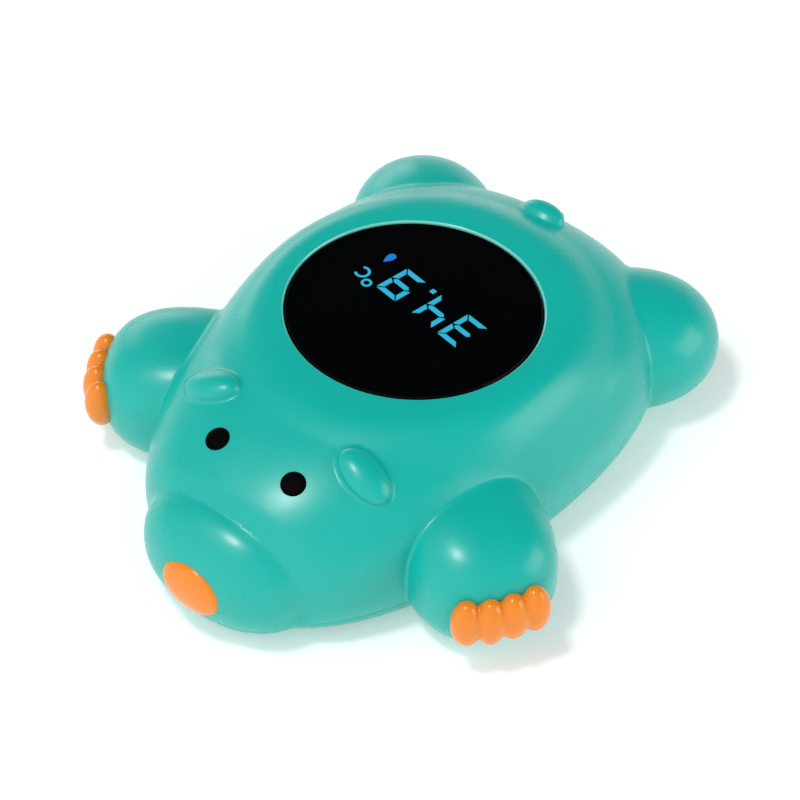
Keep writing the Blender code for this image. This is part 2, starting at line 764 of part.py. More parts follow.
def make_lower_shell():
    shell = bear_slice("lower_shell", 0.0, 0.0, PARTING_LEVEL)
    join(shell, bear_slice("lip", LIP_INSET, FLOOR - GAP, LIP_TOP))
    cut(shell, bear_slice("tray", LIP_INSET + LIP_WALL, FLOOR, LIP_TOP + WALL, INSIDE_SHARE))
    for x, y in POSTS:
        top = POST_JOINT_LEVEL - GAP
        join(shell, add_cylinder("post", POST_RADIUS, 0.5 * FLOOR, top, POST_FACETS, at(x, y)))
    cover = (COVER_HALF_WIDTH + GAP, COVER_HALF_LENGTH + GAP)
    pad = round_outline(cover[0] + BAY_WALL, cover[1] + BAY_WALL, COVER_CORNER + BAY_WALL, (0.0, BAY_Y))
    join(shell, add_prism("bay_pad", pad, 0.5 * FLOOR, PAD_TOP))
    reach_x = BAY_HALF_WIDTH + BAY_WALL
    reach_y = BAY_HALF_LENGTH + BAY_WALL
    walls = round_outline(reach_x, reach_y, 2.0 * BAY_WALL, (0.0, BAY_Y))
    join(shell, add_prism("bay_walls", walls, 0.5 * PAD_TOP, BAY_TOP + BAY_WALL))
    radius = PROBE_DISH_RADIUS + BAY_WALL
    place = at(0.0, PROBE_Y)
    join(shell, add_cylinder("probe_boss", radius, 0.5 * FLOOR, PROBE_BOSS_TOP, DISH_FACETS, place))
    for side in (1, -1):
        boss = at(side * CONTACT_PIN_X, CONTACT_PIN_Y)
        radius = CONTACT_PIN_HEAD + BAY_WALL
        join(shell, add_cylinder("pin_boss", radius, 0.5 * FLOOR, PIN_BOSS_TOP, BOSS_FACETS, boss))
    recess = round_outline(*cover, COVER_CORNER, (0.0, BAY_Y))
    cut(shell, add_prism("cover_recess", recess, -FLOOR, BAY_BOTTOM))
    bay = round_outline(BAY_HALF_WIDTH, BAY_HALF_LENGTH, BAY_WALL, (0.0, BAY_Y))
    cut(shell, add_prism("bay", bay, 0.0, BAY_TOP))
    for end in (1, -1):
        pilot = at(0.0, BAY_Y + end * COVER_SCREW_REACH)
        radius = SMALL_SHANK_RADIUS + GAP
        cut(shell, add_cylinder("cover_pilot", radius, 0.0, PAD_TOP - 2.0 * GAP, PIN_FACETS, pilot))
    for x, y in POSTS:
        head = SCREW_HEAD_RADIUS + GAP
        cut(shell, add_cylinder("counterbore", head, -FLOOR, SCREW_SEAT, POST_FACETS, at(x, y)))
        shank = SCREW_SHANK_RADIUS + GAP
        cut(shell, add_cylinder("clearance", shank, 0.0, 2.0 * POST_JOINT_LEVEL, PIN_FACETS, at(x, y)))
    dish = [
        (0.0, -PROBE_DISH_DEPTH),
        (PROBE_DISH_RADIUS + PROBE_DISH_DEPTH, -PROBE_DISH_DEPTH),
        (PROBE_DISH_RADIUS - PROBE_DISH_DEPTH, PROBE_DISH_DEPTH),
        (0.0, PROBE_DISH_DEPTH),
    ]
    cut(shell, add_turned("probe_dish", dish, facets=DISH_FACETS, frame=place))
    through = 2.0 * PROBE_BOSS_TOP
    cut(shell, add_cylinder("probe_hole", PROBE_RADIUS + GAP, -FLOOR, through, DISH_FACETS, place))
    for side in (1, -1):
        hole = at(side * CONTACT_PIN_X, CONTACT_PIN_Y)
        radius = CONTACT_PIN_RADIUS + GAP
        cut(shell, add_cylinder("pin_hole", radius, -FLOOR, through, PIN_FACETS, hole))
        sink = CONTACT_PIN_HEAD_HEIGHT + 2.0 * GAP
        cut(shell, add_cylinder("pin_sink", CONTACT_PIN_HEAD + GAP, -FLOOR, sink, BOSS_FACETS, hole))
    drop_slivers(shell)
    return finish(shell, material("teal_plastic", TEAL, 0.34))


def make_shell_gasket():
    bottom = LIP_TOP + GAP
    gasket = bear_slice("shell_gasket", LIP_INSET, bottom, bottom + GASKET_HEIGHT)
    cut(gasket, bear_form("gasket_inside", LIP_INSET + LIP_WALL))
    return finish(gasket, material("grey_rubber", GREY_RUBBER, 0.7))


# The window, its seal and the display behind it

def make_window():
    edge = 0.4 * WINDOW_RECESS
    profile = [
        (0.0, WINDOW_BOTTOM),
        (WINDOW_RADIUS, WINDOW_BOTTOM),
        (WINDOW_RADIUS, WINDOW_TOP - edge),
        (WINDOW_RADIUS - edge, WINDOW_TOP),
        (0.0, WINDOW_TOP),
    ]
    window = add_turned("display_window", profile, frame=WINDOW_FRAME)
    return finish(window, material("smoked_acrylic", SMOKED, 0.06))


def make_window_seal():
    inner = LEDGE_RADIUS + GAP
    profile = [
        (inner, SEAL_BOTTOM),
        (WINDOW_RADIUS, SEAL_BOTTOM),
        (WINDOW_RADIUS, SEAL_TOP),
        (inner, SEAL_TOP),
    ]
    seal = add_turned("window_seal", profile, closed=True, frame=WINDOW_FRAME)
    return finish(seal, material("grey_rubber", GREY_RUBBER, 0.7))


def segment_outline(start, end):
    """A six-sided bar between two points, pointed at both ends."""
    start = Vector(start)
    end = Vector(end)
    along = (end - start).normalized()
    across = Vector((-along.y, along.x)) * (0.5 * SEGMENT_WIDTH)
    inset = along * (0.5 * SEGMENT_WIDTH)
    short = along * (0.12 * SEGMENT_WIDTH)
    first = start + short
    last = end - short
    return [
        first, first + inset - across, last - inset - across,
        last, last - inset + across, first + inset + across,
    ]


def digit_segments(centre):
    """The seven bars of one digit. The text is read from the tail, so it runs to -X."""
    half_height = 0.5 * (DIGIT_HEIGHT - SEGMENT_WIDTH)
    half_width = 0.5 * half_height
    corners = {}
    for column in (-1, 1):
        for row in (-1, 0, 1):
            lean = row * half_height * math.tan(DIGIT_SLANT)
            x = centre[0] - (column * half_width + lean)
            corners[column, row] = (x, centre[1] - row * half_height)
    bars = [((-1, row), (1, row)) for row in (-1, 0, 1)]
    bars += [((column, row), (column, row + 1)) for column in (-1, 1) for row in (-1, 0)]
    return [segment_outline(corners[start], corners[end]) for start, end in bars]


def make_display_module():
    outline = round_outline(0.5 * DISPLAY_LENGTH, 0.5 * DISPLAY_WIDTH, SEGMENT_WIDTH, steps=3)
    module = add_prism("display_module", outline, DISPLAY_BOTTOM, DISPLAY_TOP, WINDOW_FRAME)
    top = DISPLAY_TOP + SEGMENT_PROUD
    for place in (-1, 0, 1):
        for bar in digit_segments((-place * DIGIT_PITCH, 0.0)):
            join(module, add_prism("segment", bar, DISPLAY_TOP - SEGMENT_PROUD, top, WINDOW_FRAME))
    return finish(module, material("display_plastic", BLACK, 0.5))


def make_main_board():
    board = add_cylinder("main_board", BOARD_RADIUS, BOARD_BOTTOM, BOARD_TOP, frame=WINDOW_FRAME)
    for x, y in board_screw_places():
        frame = WINDOW_FRAME @ at(x, y)
        hole = SMALL_SHANK_RADIUS + GAP
        cut(board, add_cylinder("hole", hole, 2.0 * BOARD_BOTTOM, 0.0, PIN_FACETS, frame))
    return finish(board, material("board_green", BOARD_GREEN, 0.4))


def make_chip():
    top = BOARD_BOTTOM - GAP
    half = 0.5 * CHIP_SIZE
    low = (-half, -half, top - CHIP_THICKNESS)
    chip = add_box("controller_chip", low, (half, half, top), WINDOW_FRAME)
    pitch = CHIP_SIZE / CHIP_LEADS
    for count in range(CHIP_LEADS):
        x = (count + 0.5) * pitch - half
        reach = half + 1.5 * GAP + CHIP_THICKNESS
        low = (x - 0.2 * pitch, -reach, top - 0.4 * CHIP_THICKNESS)
        high = (x + 0.2 * pitch, reach, top - 0.1 * CHIP_THICKNESS)
        join(chip, add_box("leads", low, high, WINDOW_FRAME))
    return finish(chip, material("display_plastic", BLACK, 0.5))


def make_board_screws():
    for count, (x, y) in enumerate(board_screw_places(), 1):
        frame = WINDOW_FRAME @ at(x, y, BOARD_BOTTOM - GAP)
        screw = add_screw(
            "board_screw_%d" % count, SMALL_SHANK_RADIUS, SMALL_HEAD_RADIUS, SMALL_HEAD_HEIGHT,
            SMALL_SCREW_LENGTH, frame,
        )
        finish(screw, material("screw_steel", STEEL, 0.35, 1.0))


# Cells, contacts and the cover of the bay

def along_y(x, y, direction):
    """A frame at cell height whose Z axis runs to +Y or -Y."""
    return at(x, y, CELL_LEVEL) @ Matrix.Rotation(-direction * math.radians(90.0), 4, "X")


FRONT_CONTACT_Y = BAY_Y - BAY_HALF_LENGTH + GAP
REAR_CONTACT_Y = BAY_Y + BAY_HALF_LENGTH - GAP


def make_cells():
    """Each cell's button rests on the contact at one end, its base on the spring at the other."""
    for name, x, direction in (("battery_right", -CELL_X, 1), ("battery_left", CELL_X, -1)):
        contact = REAR_CONTACT_Y if direction > 0 else FRONT_CONTACT_Y
        tip = contact - direction * (CONTACT_THICKNESS + GAP)
        base = tip - direction * (CELL_CAP_LENGTH + CELL_LENGTH)
        edge = 0.1 * CELL_RADIUS
        profile = [
            (0.0, 0.0),
            (CELL_RADIUS - edge, 0.0),
            (CELL_RADIUS, edge),
            (CELL_RADIUS, CELL_LENGTH - edge),
            (CELL_RADIUS - edge, CELL_LENGTH),
            (CELL_CAP_RADIUS, CELL_LENGTH),
            (CELL_CAP_RADIUS, CELL_LENGTH + CELL_CAP_LENGTH),
            (0.0, CELL_LENGTH + CELL_CAP_LENGTH),
        ]
        cell = add_turned(name, profile, facets=28, frame=along_y(x, base, direction))
        finish(cell, material("cell_sleeve", CELL_BLUE, 0.3))


def make_contacts():
    tin = material("tinned_steel", STEEL, 0.3, 1.0)
    low = CELL_LEVEL - 0.5 * CONTACT_HEIGHT
    high = CELL_LEVEL + 0.5 * CONTACT_HEIGHT
    reach = CELL_X + 0.5 * CONTACT_WIDTH
    rear = REAR_CONTACT_Y
    finish(add_box("contact_bridge", (-reach, rear - CONTACT_THICKNESS, low), (reach, rear, high)), tin)
    for name, x in (("contact_positive", CELL_X), ("contact_negative", -CELL_X)):
        front = FRONT_CONTACT_Y
        corner = (x - 0.5 * CONTACT_WIDTH, front, low)
        plate = add_box(name, corner, (x + 0.5 * CONTACT_WIDTH, front + CONTACT_THICKNESS, high))
        finish(plate, tin)


def make_springs():
    tin = material("tinned_steel", STEEL, 0.3, 1.0)
    places = (
        ("spring_negative", -CELL_X, FRONT_CONTACT_Y + CONTACT_THICKNESS, 1),
        ("spring_bridge", CELL_X, REAR_CONTACT_Y - CONTACT_THICKNESS, -1),
    )
    for name, x, y, direction in places:
        curve = bpy.data.curves.new(name, "CURVE")
        curve.dimensions = "3D"
        curve.bevel_depth = SPRING_WIRE
        curve.bevel_resolution = 1
        curve.use_fill_caps = True
        steps = int(SPRING_TURNS * 9)
        line = curve.splines.new("POLY")
        line.points.add(steps)
        start = GAP + SPRING_WIRE
        end = SPRING_LENGTH - SPRING_WIRE
        for step in range(steps + 1):
            share = step / steps
            angle = 2.0 * math.pi * SPRING_TURNS * share
            radius = SPRING_RADIUS * (1.0 - 0.35 * share)
            height = start + (end - start) * share
            line.points[step].co = (radius * math.cos(angle), radius * math.sin(angle), height, 1.0)
        spring = bpy.data.objects.new(name, curve)
        spring.matrix_world = along_y(x, y, direction)
        bpy.context.scene.collection.objects.link(spring)
        curve.materials.append(tin)


def make_cover_gasket():
    centre = (0.0, BAY_Y)
    outer = round_outline(GASKET_HALF_WIDTH, GASKET_HALF_LENGTH, BAY_WALL + COVER_GASKET_WIDTH, centre)
    gasket = add_prism("cover_gasket", outer, COVER_GASKET_BOTTOM, COVER_GASKET_TOP)
    half_width = GASKET_HALF_WIDTH - COVER_GASKET_WIDTH
    half_length = GASKET_HALF_LENGTH - COVER_GASKET_WIDTH
    inner = round_outline(half_width, half_length, BAY_WALL, (0.0, BAY_Y))
    cut(gasket, add_prism("gasket_inside", inner, 0.0, BAY_TOP))
    return finish(gasket, material("grey_rubber", GREY_RUBBER, 0.7))


def make_battery_cover():
    outline = round_outline(COVER_HALF_WIDTH, COVER_HALF_LENGTH, COVER_CORNER - GAP, (0.0, BAY_Y))
    cover = add_prism("battery_cover", outline, COVER_BOTTOM, COVER_TOP)
    rib_top = CELL_LEVEL - CELL_RADIUS - GAP
    half = 0.5 * COVER_RIB_WIDTH
    for side in (1, -1):
        low = (side * CELL_X - half, BAY_Y - 0.8 * BAY_HALF_LENGTH, COVER_BOTTOM + GAP)
        high = (side * CELL_X + half, BAY_Y + 0.8 * BAY_HALF_LENGTH, rib_top)
        join(cover, add_box("rib", low, high))
    for end in (1, -1):
        place = at(0.0, BAY_Y + end * COVER_SCREW_REACH)
        hole = SMALL_SHANK_RADIUS + GAP
        cut(cover, add_cylinder("hole", hole, -COVER_TOP, 2.0 * COVER_TOP, PIN_FACETS, place))
        head = SMALL_HEAD_RADIUS + GAP
        top = COVER_BOTTOM + SMALL_HEAD_HEIGHT
        cut(cover, add_cylinder("head_seat", head, -COVER_TOP, top, BOSS_FACETS, place))
    return finish(cover, material("teal_plastic", TEAL, 0.34))


def make_cover_screws():
    for count, end in enumerate((1, -1), 1):
        frame = at(0.0, BAY_Y + end * COVER_SCREW_REACH, COVER_BOTTOM + SMALL_HEAD_HEIGHT - 0.5 * GAP)
        length = PAD_TOP - COVER_BOTTOM - SMALL_HEAD_HEIGHT - 3.0 * GAP
        head_height = SMALL_HEAD_HEIGHT - 0.5 * GAP
        screw = add_screw(
            "cover_screw_%d" % count, SMALL_SHANK_RADIUS, SMALL_HEAD_RADIUS, head_height, length, frame,
        )
        finish(screw, material("screw_steel", STEEL, 0.35, 1.0))


def make_shell_screws():
    for count, (x, y) in enumerate(POSTS, 1):
        screw = add_screw(
            "shell_screw_%d" % count, SCREW_SHANK_RADIUS, SCREW_HEAD_RADIUS, SCREW_HEAD_HEIGHT,
            SCREW_LENGTH, at(x, y, SCREW_SEAT - GAP),
        )
        finish(screw, material("screw_steel", STEEL, 0.35, 1.0))


# Probe and water contacts

def make_probe():
    place = at(0.0, PROBE_Y)
    inner = PROBE_RADIUS - PROBE_WALL
    top = PROBE_FLANGE_BOTTOM + PROBE_FLANGE_THICKNESS
    tip = PROBE_TIP_LEVEL
    profile = [
        (0.0, tip),
        (0.55 * PROBE_RADIUS, tip + 0.08 * PROBE_RADIUS),
        (0.88 * PROBE_RADIUS, tip + 0.3 * PROBE_RADIUS),
        (PROBE_RADIUS, tip + 0.6 * PROBE_RADIUS),
        (PROBE_RADIUS, PROBE_FLANGE_BOTTOM),
        (PROBE_FLANGE_RADIUS, PROBE_FLANGE_BOTTOM),
        (PROBE_FLANGE_RADIUS, top),
        (inner, top),
        (inner, tip + PROBE_WALL + 0.6 * PROBE_RADIUS),
        (0.85 * inner, tip + PROBE_WALL + 0.3 * PROBE_RADIUS),
        (0.5 * inner, tip + PROBE_WALL + 0.1 * PROBE_RADIUS),
        (0.0, tip + PROBE_WALL),
    ]
    cap = add_turned("probe_cap", profile, facets=ROUND_FACETS // 2, frame=place)
    finish(cap, material("probe_steel", STEEL, 0.22, 1.0))
    ring = []
    for step in range(6):
        angle = 2.0 * math.pi * step / 6
        radius = PROBE_RADIUS + 0.5 * PROBE_FLANGE + SEAL_CORD_RADIUS * math.cos(angle)
        ring.append((radius, PROBE_SEAL_LEVEL + SEAL_CORD_RADIUS * math.sin(angle)))
    seal = add_turned("probe_seal", ring, closed=True, facets=ROUND_FACETS // 2, frame=place)
    finish(seal, material("grey_rubber", GREY_RUBBER, 0.7))
    start = PROBE_TIP_LEVEL + PROBE_WALL + GAP
    bead = [
        (0.0, start),
        (0.6 * BEAD_RADIUS, start + 0.15 * BEAD_LENGTH),
        (BEAD_RADIUS, start + 0.4 * BEAD_LENGTH),
        (BEAD_RADIUS, start + 0.7 * BEAD_LENGTH),
        (0.5 * BEAD_RADIUS, start + 0.95 * BEAD_LENGTH),
        (0.0, start + BEAD_LENGTH),
    ]
    thermistor = add_turned("thermistor", bead, facets=16, frame=place)
    finish(thermistor, material("display_plastic", BLACK, 0.5))


def make_water_contacts():
    for name, side in (("water_contact_left", 1), ("water_contact_right", -1)):
        bottom = GAP
        seat = bottom + CONTACT_PIN_HEAD_HEIGHT
        profile = [
            (0.0, bottom),
            (0.8 * CONTACT_PIN_HEAD, bottom),
            (CONTACT_PIN_HEAD, bottom + 0.4 * CONTACT_PIN_HEAD_HEIGHT),
            (CONTACT_PIN_HEAD, seat),
            (CONTACT_PIN_RADIUS, seat),
            (CONTACT_PIN_RADIUS, seat + CONTACT_PIN_LENGTH),
            (0.0, seat + CONTACT_PIN_LENGTH),
        ]
        pin = add_turned(name, profile, facets=BOSS_FACETS, frame=at(side * CONTACT_PIN_X, CONTACT_PIN_Y))
        finish(pin, material("probe_steel", STEEL, 0.22, 1.0))


# Eyes, nose and toes

def make_face_and_toes():
    orange = material("orange_plastic", ORANGE, 0.4)
    for name, side in (("left", 1), ("right", -1)):
        finish(eye_solid("eye_" + name, side), material("eye_black", BLACK, 0.4))
        finish(toe_form("toe_cap_" + name, side), orange)
    nose = join(nose_form("nose", proud=TRIM_PROUD), add_lobe("nose_dome", nose_dome()))
    finish(cut(nose, add_lobe("nose_back", MUZZLE, TRIM_DEPTH)), orange)


def clear_scene():
    for old in list(bpy.data.objects):
        bpy.data.objects.remove(old)


def main():
    clear_scene()
    make_upper_shell()
    make_lower_shell()
    make_shell_gasket()
    make_window()
    make_window_seal()
    make_display_module()
    make_main_board()
    make_chip()
    make_board_screws()
    make_cells()
    make_contacts()
    make_springs()
    make_cover_gasket()
    make_battery_cover()
    make_cover_screws()
    make_shell_screws()
    make_probe()
    make_water_contacts()
    make_face_and_toes()


main()
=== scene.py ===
import math

import bmesh
import bpy
import numpy as np
from mathutils import Matrix, Vector


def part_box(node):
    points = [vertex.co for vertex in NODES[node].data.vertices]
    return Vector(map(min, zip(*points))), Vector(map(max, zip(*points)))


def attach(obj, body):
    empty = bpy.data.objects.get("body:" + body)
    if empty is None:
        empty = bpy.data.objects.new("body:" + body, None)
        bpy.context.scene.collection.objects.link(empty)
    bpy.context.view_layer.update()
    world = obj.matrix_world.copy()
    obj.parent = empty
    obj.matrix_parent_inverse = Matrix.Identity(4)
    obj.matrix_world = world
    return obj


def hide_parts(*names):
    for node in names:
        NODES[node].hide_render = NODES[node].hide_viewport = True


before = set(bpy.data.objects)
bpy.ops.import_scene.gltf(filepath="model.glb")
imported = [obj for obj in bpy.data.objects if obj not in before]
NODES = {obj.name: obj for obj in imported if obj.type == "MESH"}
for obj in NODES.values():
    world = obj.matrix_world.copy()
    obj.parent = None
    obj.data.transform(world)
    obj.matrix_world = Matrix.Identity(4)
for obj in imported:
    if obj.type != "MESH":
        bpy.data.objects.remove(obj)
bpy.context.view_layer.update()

BODY_NAME = "root"

# Levels and sizes shared with the solids, in metres

PARTING = 0.0055
SEAM = 0.00012
WINDOW_Y = 0.0073
WINDOW_LEVEL = 0.0339
WINDOW_TILT = math.radians(-2.1)
WINDOW = Matrix.Translation((0.0, WINDOW_Y, WINDOW_LEVEL)) @ Matrix.Rotation(WINDOW_TILT, 4, "X")
WINDOW_BACK = WINDOW.inverted()
WINDOW_RADIUS = 0.0250
WINDOW_TOP = -0.00025
WINDOW_BOTTOM = -0.0021
POCKET_RADIUS = 0.0253
LEDGE_TOP = -0.0033
RIM_OUTER = 0.0265
RIM_ROUND = 0.0008
# Width of the band on the rim's round that carries the painted highlight
RIM_PAINTED_HIGHLIGHT_WIDTH = 0.00034
RIM_DEPTH = -0.004
CROWN_INNER = 0.0273
CROWN_OUTER = 0.0398
POSTS = [(0.0190, -0.0300), (-0.0190, -0.0300), (0.0195, 0.0425), (-0.0195, 0.0425)]
PROBE = (0.0, -0.0360)
PINS = [(0.0120, -0.0380), (-0.0120, -0.0380)]

VOXEL = 0.00050
TOE_VOXEL = 0.00030
SPREAD_ROUNDS = 10
CREASE = 0.0007
SMALL_CREASE = 0.0008
TAIL_CREASE = 0.0010
FOOT = 0.0010
BELLY_PROBE = 0.002
BELLY_TUCK = 0.0008
BELLY_BAND = 0.0012
BELLY_CHAMFER = 0.0004
HAIR = 0.00001
FLAT = 0.00002
OUTER_DEPTH = -0.0007
SEAM_STEPS = ((0.00005, 0.00007), (0.00012, 0.00003), (0.0012, 0.0))
LONGEST_STEP = 0.0012
FOLD_Y = -0.0506
FOLD_DEPTH = 0.0009
FOLD_BEHIND = 0.0040
FOLD_AHEAD = 0.0085
FOLD_ROUND = 0.00025
FOLD_LOW = 0.0058
FOLD_HIGH = 0.0095

# The lobes, fitted to the picture: place, half sizes along, across and up, heading, pitch, power and taper

LENGTHWISE = math.radians(90.0)
BODY_LEVEL = 0.0122
BODY_RISE = 0.0238
BODY_DROP = 0.0219
BODY_POWERS = (2.34, 2.47, 2.45)
BODY_FRONT = 0.0573
BODY_REAR = 0.0588
BODY_HALF_WIDTH = 0.0398
BODY_TAPER = 0.173
MUZZLE_PLACE = (0.0, -0.0453, 0.0118)
MUZZLE_HALF = (0.0154, 0.0199, 0.0145)
MUZZLE_PITCH = math.radians(5.3)
MUZZLE_POWER = 2.27
ARM_PLACE = (0.0297, -0.0161, 0.0118)
ARM_HALF = (0.0241, 0.0147, 0.0129)
ARM_HEADING = math.radians(-31.7)
ARM_POWER = 2.63
ARM_TAPER = 0.11
LEG_PLACE = (0.0226, 0.0413, 0.0125)
LEG_HALF = (0.0227, 0.0154, 0.0127)
LEG_HEADING = math.radians(42.2)
LEG_POWER = 2.06
LEG_TAPER = 0.15
EAR_X = 0.0186
EAR_Y = -0.0311
EAR_STAND_X = 0.0194
EAR_HALF = (0.0065, 0.0040, 0.0029)
EAR_HEADING = math.radians(-8.0)
EAR_PITCH = math.radians(23.0)
TAIL_PLACE = (0.0, 0.0497, 0.0276)
TAIL_HALF = (0.0030, 0.0049, 0.0024)


def window_plane(y):
    return WINDOW_LEVEL + (y - WINDOW_Y) * math.tan(WINDOW_TILT)


def body_top(x, y):
    reach = np.where(y > 0.0, BODY_REAR, BODY_FRONT)
    width = BODY_HALF_WIDTH * (1.0 + BODY_TAPER * np.clip(y / reach, -1.0, 1.0))
    left = 1.0 - np.abs(x / width) ** BODY_POWERS[1] - np.abs(y / reach) ** BODY_POWERS[0]
    return BODY_LEVEL + BODY_RISE * np.maximum(left, 0.0) ** (1.0 / BODY_POWERS[2])


def crown_lift(p):
    reach = np.hypot(p[:, 0], p[:, 1] - WINDOW_Y)
    share = np.clip((CROWN_OUTER - reach) / (CROWN_OUTER - CROWN_INNER), 0.0, 1.0)
    blend = share * share * (3.0 - 2.0 * share)
    fade = np.clip((p[:, 2] - BODY_LEVEL) / (0.6 * BODY_RISE), 0.0, 1.0)
    return blend * fade * (window_plane(p[:, 1]) - body_top(p[:, 0], p[:, 1]))


def lobe(centre, front, rear, half_width, up, down, heading, pitch=0.0, powers=(2.0, 2.0, 2.0),
         taper_width=0.0, taper_height=0.0, crowned=False):
    turn = Matrix.Rotation(heading, 3, "Z") @ Matrix.Rotation(pitch, 3, "Y")
    return {
        "centre": np.array(centre), "turn": np.array(turn), "front": front, "rear": rear,
        "half_width": half_width, "up": up, "down": down, "powers": powers,
        "taper_width": taper_width, "taper_height": taper_height, "crowned": crowned,
    }


def ball(centre, half, heading, power=2.0, taper=0.0, pitch=0.0):
    powers = (power, power, power)
    return lobe(centre, half[0], half[0], half[1], half[2], half[2], heading, pitch, powers, taper, taper)


def mirrored(heading, side):
    return heading if side > 0 else math.pi - heading


def paired(place, side):
    return (side * place[0], place[1], place[2])


def arm(side):
    return ball(paired(ARM_PLACE, side), ARM_HALF, mirrored(ARM_HEADING, side), ARM_POWER, ARM_TAPER)


def leg(side):
    return ball(paired(LEG_PLACE, side), LEG_HALF, mirrored(LEG_HEADING, side), LEG_POWER, LEG_TAPER)


def ear(side):
    level = float(body_top(np.array([EAR_STAND_X]), np.array([EAR_Y]))[0])
    return ball((side * EAR_X, EAR_Y, level), EAR_HALF, mirrored(EAR_HEADING, side), pitch=EAR_PITCH)


BODY = lobe(
    (0.0, 0.0, BODY_LEVEL), BODY_FRONT, BODY_REAR, BODY_HALF_WIDTH, BODY_RISE, BODY_DROP,
    LENGTHWISE, 0.0, BODY_POWERS, BODY_TAPER, 0.0, True,
)
MUZZLE = ball(MUZZLE_PLACE, MUZZLE_HALF, LENGTHWISE, MUZZLE_POWER, pitch=MUZZLE_PITCH)
TAIL = ball(TAIL_PLACE, TAIL_HALF, LENGTHWISE)
BIG = [BODY, MUZZLE, arm(1), arm(-1), leg(1), leg(-1)]
SMALL = [(ear(1), SMALL_CREASE), (ear(-1), SMALL_CREASE), (TAIL, TAIL_CREASE)]


# Signed distance to the blended form, in numpy so that every point is placed on the real surface

def lobe_distance(one, points):
    p = points
    if one["crowned"]:
        p = points.copy()
        p[:, 2] -= crown_lift(points)
    q = (p - one["centre"]) @ one["turn"]
    x, y, z = q[:, 0], q[:, 1], q[:, 2]
    length = np.where(x > 0.0, one["rear"], one["front"])
    height = np.where(z > 0.0, one["up"], one["down"])
    shift = np.clip(x / length, -1.0, 1.0)
    width = one["half_width"] * (1.0 + one["taper_width"] * shift)
    height = height * (1.0 + one["taper_height"] * shift)
    a, b, c = one["powers"]
    ux, uy, uz = np.abs(x / length), np.abs(y / width), np.abs(z / height)
    total = ux ** a + uy ** b + uz ** c + 1e-12
    mean = 3.0 / (1.0 / a + 1.0 / b + 1.0 / c)
    gauge = total ** (1.0 / mean)
    scale = gauge / (mean * total)
    steep = np.sqrt(
        (a * ux ** (a - 1.0) / length) ** 2 + (b * uy ** (b - 1.0) / width) ** 2
        + (c * uz ** (c - 1.0) / height) ** 2
    ) * scale
    return (gauge - 1.0) / np.maximum(steep, 8.0)


def soft_min(a, b, width):
    overlap = np.maximum(width - np.abs(a - b), 0.0) / width
    return np.minimum(a, b) - overlap * overlap * width * 0.25


def fold(points):
    """The valley across the head that sets the muzzle off, steeper behind than ahead."""
    ahead = FOLD_Y - points[:, 1]
    reach = np.where(ahead > 0.0, FOLD_AHEAD, FOLD_BEHIND)
    share = np.clip(1.0 - np.sqrt(ahead * ahead + FOLD_ROUND * FOLD_ROUND) / reach, 0.0, 1.0)
    fade = np.clip((points[:, 2] - FOLD_LOW) / (FOLD_HIGH - FOLD_LOW), 0.0, 1.0)
    return FOLD_DEPTH * share * share * fade * fade * (3.0 - 2.0 * fade)


def form_distance(points):
    found = None
    for one in BIG:
        here = lobe_distance(one, points)
        found = here if found is None else soft_min(found, here, CREASE)
    found = found + fold(points)
    for one, crease in SMALL:
        found = soft_min(found, lobe_distance(one, points), crease)
    return -soft_min(-found, points[:, 2], FOOT)


def gradient(distance, points, step=0.00005):
    found = np.empty_like(points)
    for axis in range(3):
        move = np.zeros(3)
        move[axis] = step
        found[:, axis] = (distance(points + move) - distance(points - move)) / (2.0 * step)
    return found


def settle(distance, points, rounds):
    """Moves points along the form's slope until they lie on it."""
    for _ in range(rounds):
        slope = gradient(distance, points)
        size = np.maximum((slope * slope).sum(1), 0.05)
        step = np.clip(distance(points) / size, -LONGEST_STEP, LONGEST_STEP)
        points = points - slope * step[:, None]
    return points


# Meshes

def link(name, mesh):
    made = bpy.data.objects.new(name, mesh)
    bpy.context.scene.collection.objects.link(made)
    return made


def add_mesh(work, other):
    spare = bpy.data.meshes.new("spare")
    other.to_mesh(spare)
    other.free()
    work.from_mesh(spare)
    bpy.data.meshes.remove(spare)


def lobe_ball(work, one, around=96, rings=48):
    ball_mesh = bmesh.new()
    bmesh.ops.create_uvsphere(ball_mesh, u_segments=around, v_segments=rings, radius=1.0)
    points = np.array([v.co for v in ball_mesh.verts])
    points /= np.linalg.norm(points, axis=1)[:, None]
    lengths = np.where(points[:, 0] > 0.0, one["rear"], one["front"])
    heights = np.where(points[:, 2] > 0.0, one["up"], one["down"])
    start = points * np.stack([lengths, np.full(len(points), one["half_width"]), heights], 1)
    spots = start @ one["turn"].T + one["centre"]
    spots = settle(lambda p: lobe_distance(one, p), spots, 8)
    for vertex, spot in zip(ball_mesh.verts, spots):
        vertex.co = spot
    add_mesh(work, ball_mesh)


def form_mesh(name, lobes, distance, voxel):
    """One even skin over several lobes, each point set on their blended surface."""
    work = bmesh.new()
    for one in lobes:
        lobe_ball(work, one)
    mesh = bpy.data.meshes.new(name)
    work.to_mesh(mesh)
    work.free()
    made = link(name, mesh)
    remesh = made.modifiers.new("even", "REMESH")
    remesh.mode = "VOXEL"
    remesh.voxel_size = voxel
    bpy.context.view_layer.update()
    graph = bpy.context.evaluated_depsgraph_get()
    result = bpy.data.meshes.new_from_object(made.evaluated_get(graph))
    bpy.data.objects.remove(made)
    bpy.data.meshes.remove(mesh)
    work = bmesh.new()
    work.from_mesh(result)
    bpy.data.meshes.remove(result)
    spread(work, distance, SPREAD_ROUNDS)
    bmesh.ops.triangulate(work, faces=work.faces, quad_method="BEAUTY")
    return work


